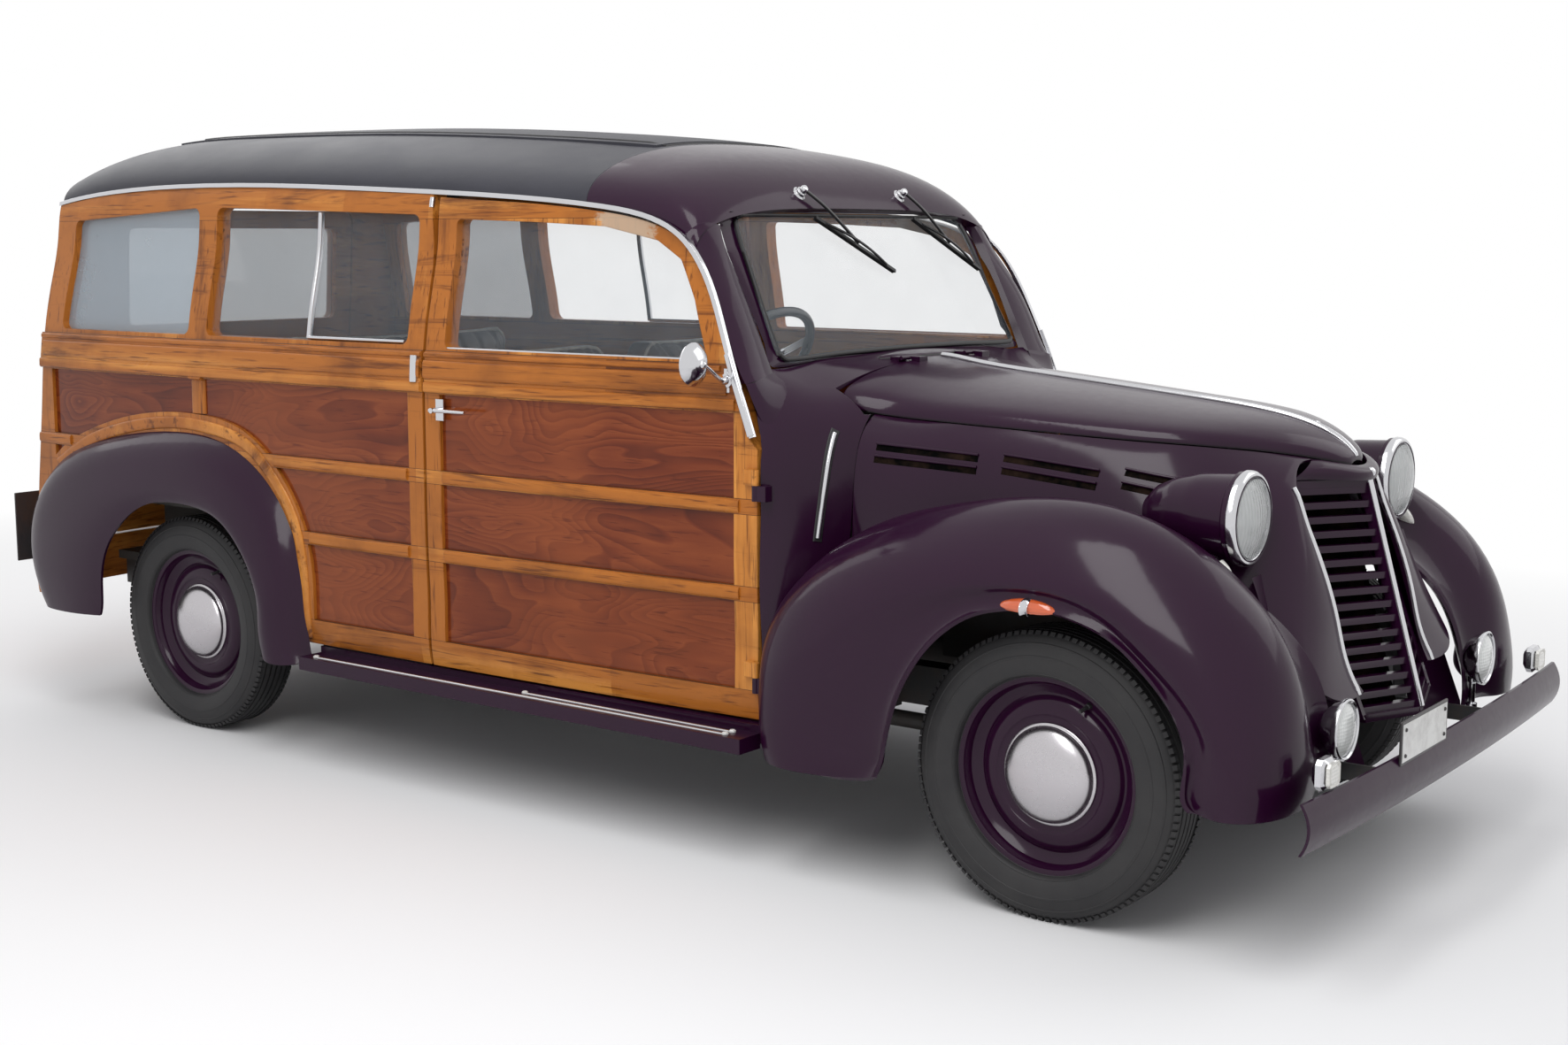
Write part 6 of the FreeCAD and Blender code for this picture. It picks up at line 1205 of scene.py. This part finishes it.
def swell(item):
    """Blows a closed form up as stuffed cloth, with no point moved further than SWELL_CAP."""
    remesh = item.modifiers.new("remesh", "REMESH")
    remesh.mode = "VOXEL"
    remesh.voxel_size = CLOTH_VOXEL
    settle(item)
    starts = [vertex.co.copy() for vertex in item.data.vertices]
    cloth = item.modifiers.new("cloth", "CLOTH")
    cloth.settings.use_pressure = True
    cloth.settings.uniform_pressure_force = CLOTH_PRESSURE
    cloth.settings.effector_weights.gravity = 0
    cloth.point_cache.frame_start = 1
    cloth.point_cache.frame_end = CLOTH_FRAMES
    for number in range(1, CLOTH_FRAMES + 1):
        bpy.context.scene.frame_set(number)
    settle(item)
    places = []
    for vertex, start in zip(item.data.vertices, starts):
        moved = vertex.co - start
        places += list(start + moved * min(1.0, SWELL_CAP / max(moved.length, 1e-6)))
    item.data.vertices.foreach_set("co", places)
    bpy.context.scene.frame_set(1)


def sew(item, facing, low, high):
    """Sewn channels along the seat, and a seam round its field."""
    item.modifiers.new("soft", "SUBSURF").levels = 1
    settle(item)
    middle, field = (low.y + high.y) / 2, (high.y - low.y) / 2 - SEAM_INSET
    places = []
    for spot, normal in [(vertex.co.copy(), vertex.normal.copy()) for vertex in item.data.vertices]:
        across = spot.y - middle
        depth = 0.0060 * math.exp(-((abs(across) - field) / 0.0080) ** 2)
        if abs(across) < field:
            off = across - round(across / CHANNEL_PITCH) * CHANNEL_PITCH
            depth += 0.0075 * math.exp(-(off / 0.0085) ** 2)
        places += list(spot - normal * depth * max(0.0, normal.dot(facing)))
    item.data.vertices.foreach_set("co", places)
    item.data.polygons.foreach_set("use_smooth", [True] * len(item.data.polygons))


def cushion(name, low, high, facing, node):
    """One stuffed seat or back, sewn in channels."""
    item = Shape().brick(low, high, SEAT_EDGE).piece(name, LEATHER, replaces=[node])
    swell(item)
    sew(item, facing, low, high)
    return item


def back_piping(name, item, low, high):
    """Pale piping over the top edge of a backrest, laid on the finished cushion."""
    data = item.data
    tree = BVHTree.FromPolygons([vertex.co for vertex in data.vertices],
                                [tuple(polygon.vertices) for polygon in data.polygons])
    outline = [(low.y, high.z - PIPING_DROP), (low.y, high.z - PIPING_CORNER)]
    outline += [(low.y + PIPING_CORNER * (1 - math.cos(turn)), high.z - PIPING_CORNER * (1 - math.sin(turn)))
                for turn in spread(0.2, math.pi / 2, 6)]
    middle = (low.y + high.y) / 2
    outline += [(2 * middle - y, z) for y, z in reversed(outline)]
    path = []
    for spot in smooth_line([(high.x, y, z) for y, z in outline], 90):
        out = (Vector((0, spot.y, spot.z)) - Vector((0, middle, high.z - 0.25))).normalized()
        out = (out + AHEAD).normalized()
        hit = tree.ray_cast(spot + out * 0.10, -out)
        if hit[0]:
            path.append((hit[0] + out * 0.0005, out))
    Shape().swept(path, tube_section(4.8, 8)).piece(name, PALE_PIPING)


def seat(end, tail, sizes, sign, node):
    """Cushion, back and piping of one seat."""
    cushion_back, cushion_front, back, back_front, inner, outer = sizes
    left, right = sorted((sign * inner, sign * outer))
    cushion(end + "_cushion" + tail, Vector((cushion_back, left, SEAT_LOW)),
            Vector((cushion_front, right, SEAT_TOP)), UP, node)
    low, high = Vector((back, left, SEAT_LOW)), Vector((back_front, right, BACK_TOP))
    item = cushion(end + "_back" + tail, low, high, AHEAD, node)
    back_piping(end + "_piping" + tail, item, low, high)


def seats():
    for name, sign in SIDES:
        seat("front", "_" + name, FRONT_SEAT, sign, "front_seats")
    seat("rear", "", REAR_SEAT, 1, "rear_seat")


def steering_wheel():
    hub = STEERING_HUB
    up = Vector((-math.cos(STEERING_TILT), 0, math.sin(STEERING_TILT)))
    rim, wires = Shape(), Shape()
    rim.turned(STEERING_RIM, hub, up, 120, True)
    rim.turned(WHEEL_BOSS, hub, up, 48)
    rim.piece("detailed_steering_wheel", BAKELITE, "steering_wheel", replaces=["steering_wheel"])
    side = Vector((0, 1, 0))
    for index in range(3):
        turn = math.radians(90 + index * 120)
        out = side * math.cos(turn) + up.cross(side) * math.sin(turn)
        across = up.cross(out)
        for offset in (-0.0135, -0.0045, 0.0045, 0.0135):
            start = hub + up * 0.006 + across * offset
            path = [(start + out * reach, up) for reach in spread(0.030, 0.200, 5)]
            wires.swept(path, tube_section(2.1, 8))
        path = [(hub + up * 0.0035 + out * reach, up) for reach in (0.118, 0.128)]
        wires.swept(path, SPOKE_PLATE)
    wires.piece("steering_spokes", CHROME, "steering_wheel")
    Shape().turned(HORN_BUTTON, hub, up, 48).piece("horn_button", IVORY, "steering_wheel")


def instruments():
    """Two dials, knobs and a glove box on the face of the dashboard, which looks backwards."""
    face_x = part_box("dashboard")[0].x
    bezels, faces, marks, knobs = Shape(), Shape(), Shape(), Shape()
    for y, radius in DIALS:
        middle = Vector((face_x, y, DIAL_Z))
        edge = radius / MILLIMETRE
        bezel = ((edge - 4, 1), (edge - 3, 6.5), (edge, 8.5), (edge + 4, 6), (edge + 6, -1))
        bezels.turned(bezel, middle, BEHIND, 48)
        faces.turned(((0.1, 1.2), (edge - 3, 1.2)), middle, BEHIND, 48)
        lines = [(turn, MARKS_END - (0.08 if step % 5 else 0.16), MARKS_END, 0.0018, DIAL_MARK)
                 for step, turn in enumerate(spread(-DIAL_SWEEP, DIAL_SWEEP, DIAL_MARKS))]
        for turn, first, last, lift, section in lines + [(y - 2.0, -0.15, 0.70, 0.0032, POINTER)]:
            out = Vector((0, math.sin(turn), math.cos(turn))) * radius
            marks.swept([(middle + BEHIND * lift + out * share, BEHIND) for share in (first, last)], section)
        knobs.turned(POINTER_CAP, middle, BEHIND, 20)
    for y in spread(*KNOBS_Y):
        knobs.turned(DASH_KNOB, (face_x, y, KNOBS_Z), BEHIND, 24)
    seam = []
    for (y, z), (next_y, next_z) in zip(GLOVE_BOX, GLOVE_BOX[1:] + GLOVE_BOX[:1]):
        seam += [(Vector((face_x, y + (next_y - y) * t, z + (next_z - z) * t)), BEHIND)
                 for t in (0.06, 0.5, 0.94)]
    knobs.swept(seam, round_section(3, 1.6, 4), closed=True)
    bezels.turned(GLOVE_KNOB, (face_x, 0.370, 0.958), BEHIND, 24)
    bezels.piece("dial_bezels", CHROME)
    faces.piece("dial_faces", IVORY, slot="plate_white")
    marks.piece("dial_marks", BAKELITE)
    knobs.piece("dash_knobs", BAKELITE)


def door_mirror():
    """Round mirror with a domed bright back on an arm from the door's frame."""
    head = MIRROR_HEAD
    shell, pane = Shape(), Shape()
    shell.turned(MIRROR_SHELL, head, AHEAD, 64)
    pane.turned(MIRROR_PANE, head, AHEAD, 64)
    knuckle = head + Vector((0.0215, 0.004, 0))
    ball = [(9.5 * math.sin(turn) + 0.1, -9.5 * math.cos(turn)) for turn in spread(0, math.pi, 12)]
    shell.turned(ball, knuckle, AHEAD, 32)
    foot, out = Skin("door_right").side(MIRROR_FOOT_X, MIRROR_FOOT_Z)
    elbow = knuckle + Vector((-0.004, 0.026, -0.010))
    path = smooth_line([knuckle, elbow, foot + out * 0.022, foot + out * 0.004], 16)
    shell.swept([(spot, AHEAD) for spot in path], tube_section(4.6, 12))
    shell.turned(MIRROR_FOOT, foot, out, 32)
    plate = [(foot + UP * reach + out * 0.0005, out) for reach in spread(-0.026, 0.026, 5)]
    shell.swept(plate, moulding(16, 3.5, 0.4))
    shell.piece("mirror_shell", CHROME, "door_right", replaces=["mirror"])
    pane.piece("mirror_pane", REFLECTOR, "door_right")


def plates():
    """Blank number plates: a black pressed back with a raised edge and a white face."""
    thin, bevel, edge = 0.005, 0.0012, 0.006
    backs, faces = Shape(), Shape()
    for end in (1, -1):
        low, high = extent("number_plates", 0, end)
        front_x, back_x = (high.x, low.x) if end > 0 else (low.x, high.x)
        near_x, far_x = sorted((front_x, front_x - end * thin))
        backs.brick((near_x, low.y, low.z), (far_x, high.y, high.z), bevel)
        near_x, far_x = sorted((front_x - end * thin, back_x))
        middle = (low + high) / 2
        backs.brick((near_x, middle.y - 0.030, low.z), (far_x, middle.y + 0.030, middle.z), bevel)
        x = front_x - end * 0.0004
        rows = ((low.y + edge, low.z + edge), (high.y - edge, low.z + edge), (high.y - edge, high.z - edge),
                (low.y + edge, high.z - edge))
        spots = [Vector((x + end * lift, y, z)) for lift in (0.0, 0.0010) for y, z in rows]
        faces.add(spots, [(0, 1, 5, 4), (1, 2, 6, 5), (2, 3, 7, 6), (3, 0, 4, 7), (4, 5, 6, 7)])
        for y in (low.y + 0.020, high.y - 0.020):
            for z in (low.z + 0.018, high.z - 0.018):
                backs.turned(PLATE_SCREW, (x + end * 0.001, y, z), AHEAD * end, 14)
    backs.piece("plate_backs", HOUSING, replaces=["number_plates"])
    faces.piece("plate_faces", PLATE)


for fit_out in (seats, steering_wheel, instruments, door_mirror, plates):
    fit_out()


# Floor, light and camera.
FADE_START, FADE_END = 1.7, 4.4
SHADE_LIGHT = (0.56, 0.56, 0.58, 1)
WHITE = (1, 1, 1, 1)
AIM = Vector((0, 0, 0.6))
# Lamps: name, place, width and height in metres, watts.
LAMPS = (
    ("key", (1.4, -2.8, 4.2), (1.8, 5.0), 135), ("fill", (3.5, 3.0, 3.6), (4.0, 3.0), 40),
    ("back", (-4.0, 0.5, 3.4), (4.0, 3.0), 45),
)
CAMERA_PLACE, CAMERA_LOOK, CAMERA_LENS = (3.3609, -4.0949, 1.3686), (-0.5928, 0.7928, -0.1416), 46.12


def placed(name, data, place=(0, 0, 0), look=None):
    """A new object in the scene that looks along a direction."""
    item = bpy.data.objects.new(name, data)
    bpy.context.scene.collection.objects.link(item)
    item.location = place
    if look is not None:
        item.rotation_mode = "QUATERNION"
        item.rotation_quaternion = Vector(look).to_track_quat("-Z", "Y")
    return item


def studio_floor():
    """Pale floor that keeps the shadow and fades to white away from the car."""
    floor = Finish("studio_floor", (0.88, 0.88, 0.88), 0.75, Specular_IOR_Level=0.1)
    squares = [floor.math("POWER", floor.axis(letter, (0.72, 1, 1)), 2.0) for letter in "XY"]
    reach = floor.math("SQRT", floor.math("ADD", *squares))
    fade = floor.node("MapRange", {"Value": reach, "From Min": FADE_START, "From Max": FADE_END}).outputs[0]
    glow = floor.node("Emission", {"Color": WHITE})
    blend = floor.node("MixShader", {0: fade, 1: floor.shader.outputs[0], 2: glow.outputs[0]})
    floor.tree.links.new(blend.outputs[0], floor.tree.nodes["Material Output"].inputs["Surface"])
    data = bpy.data.meshes.new("studio_floor")
    ring = Shape().turned(FLOOR_RINGS, (0, 0, 0), UP, 64)
    data.from_pydata([tuple(spot) for spot in ring.spots], [], ring.faces)
    data.materials.append(floor.material)
    item = placed("studio_floor", data)


def surround():
    """A white world for the camera and for reflections, and plain soft light for the rest."""
    world = bpy.data.worlds.new("studio")
    bpy.context.scene.world = world
    world.use_nodes = True
    tree = world.node_tree
    rays = tree.nodes.new("ShaderNodeLightPath")
    shown = rays.outputs["Is Camera Ray"]
    for ray in ("Is Glossy Ray", "Is Transmission Ray"):
        either = tree.nodes.new("ShaderNodeMath")
        either.operation = "MAXIMUM"
        tree.links.new(shown, either.inputs[0])
        tree.links.new(rays.outputs[ray], either.inputs[1])
        shown = either.outputs[0]
    tone = tree.nodes.new("ShaderNodeMix")
    tone.data_type = "RGBA"
    tree.links.new(shown, tone.inputs[0])
    tone.inputs[6].default_value = SHADE_LIGHT
    tone.inputs[7].default_value = WHITE
    tree.links.new(tone.outputs[2], tree.nodes["Background"].inputs["Color"])


def lamps_and_camera():
    for name, spot, size, power in LAMPS:
        lamp = bpy.data.lights.new(name, "AREA")
        lamp.shape = "RECTANGLE"
        lamp.size, lamp.size_y = size
        lamp.energy = power
        placed(name, lamp, spot, AIM - Vector(spot))
    data = bpy.data.cameras.new("camera")
    data.lens = CAMERA_LENS
    bpy.context.scene.camera = placed("camera", data, CAMERA_PLACE, CAMERA_LOOK)


studio_floor()
surround()
lamps_and_camera()
bpy.context.scene.view_settings.view_transform = "Standard"
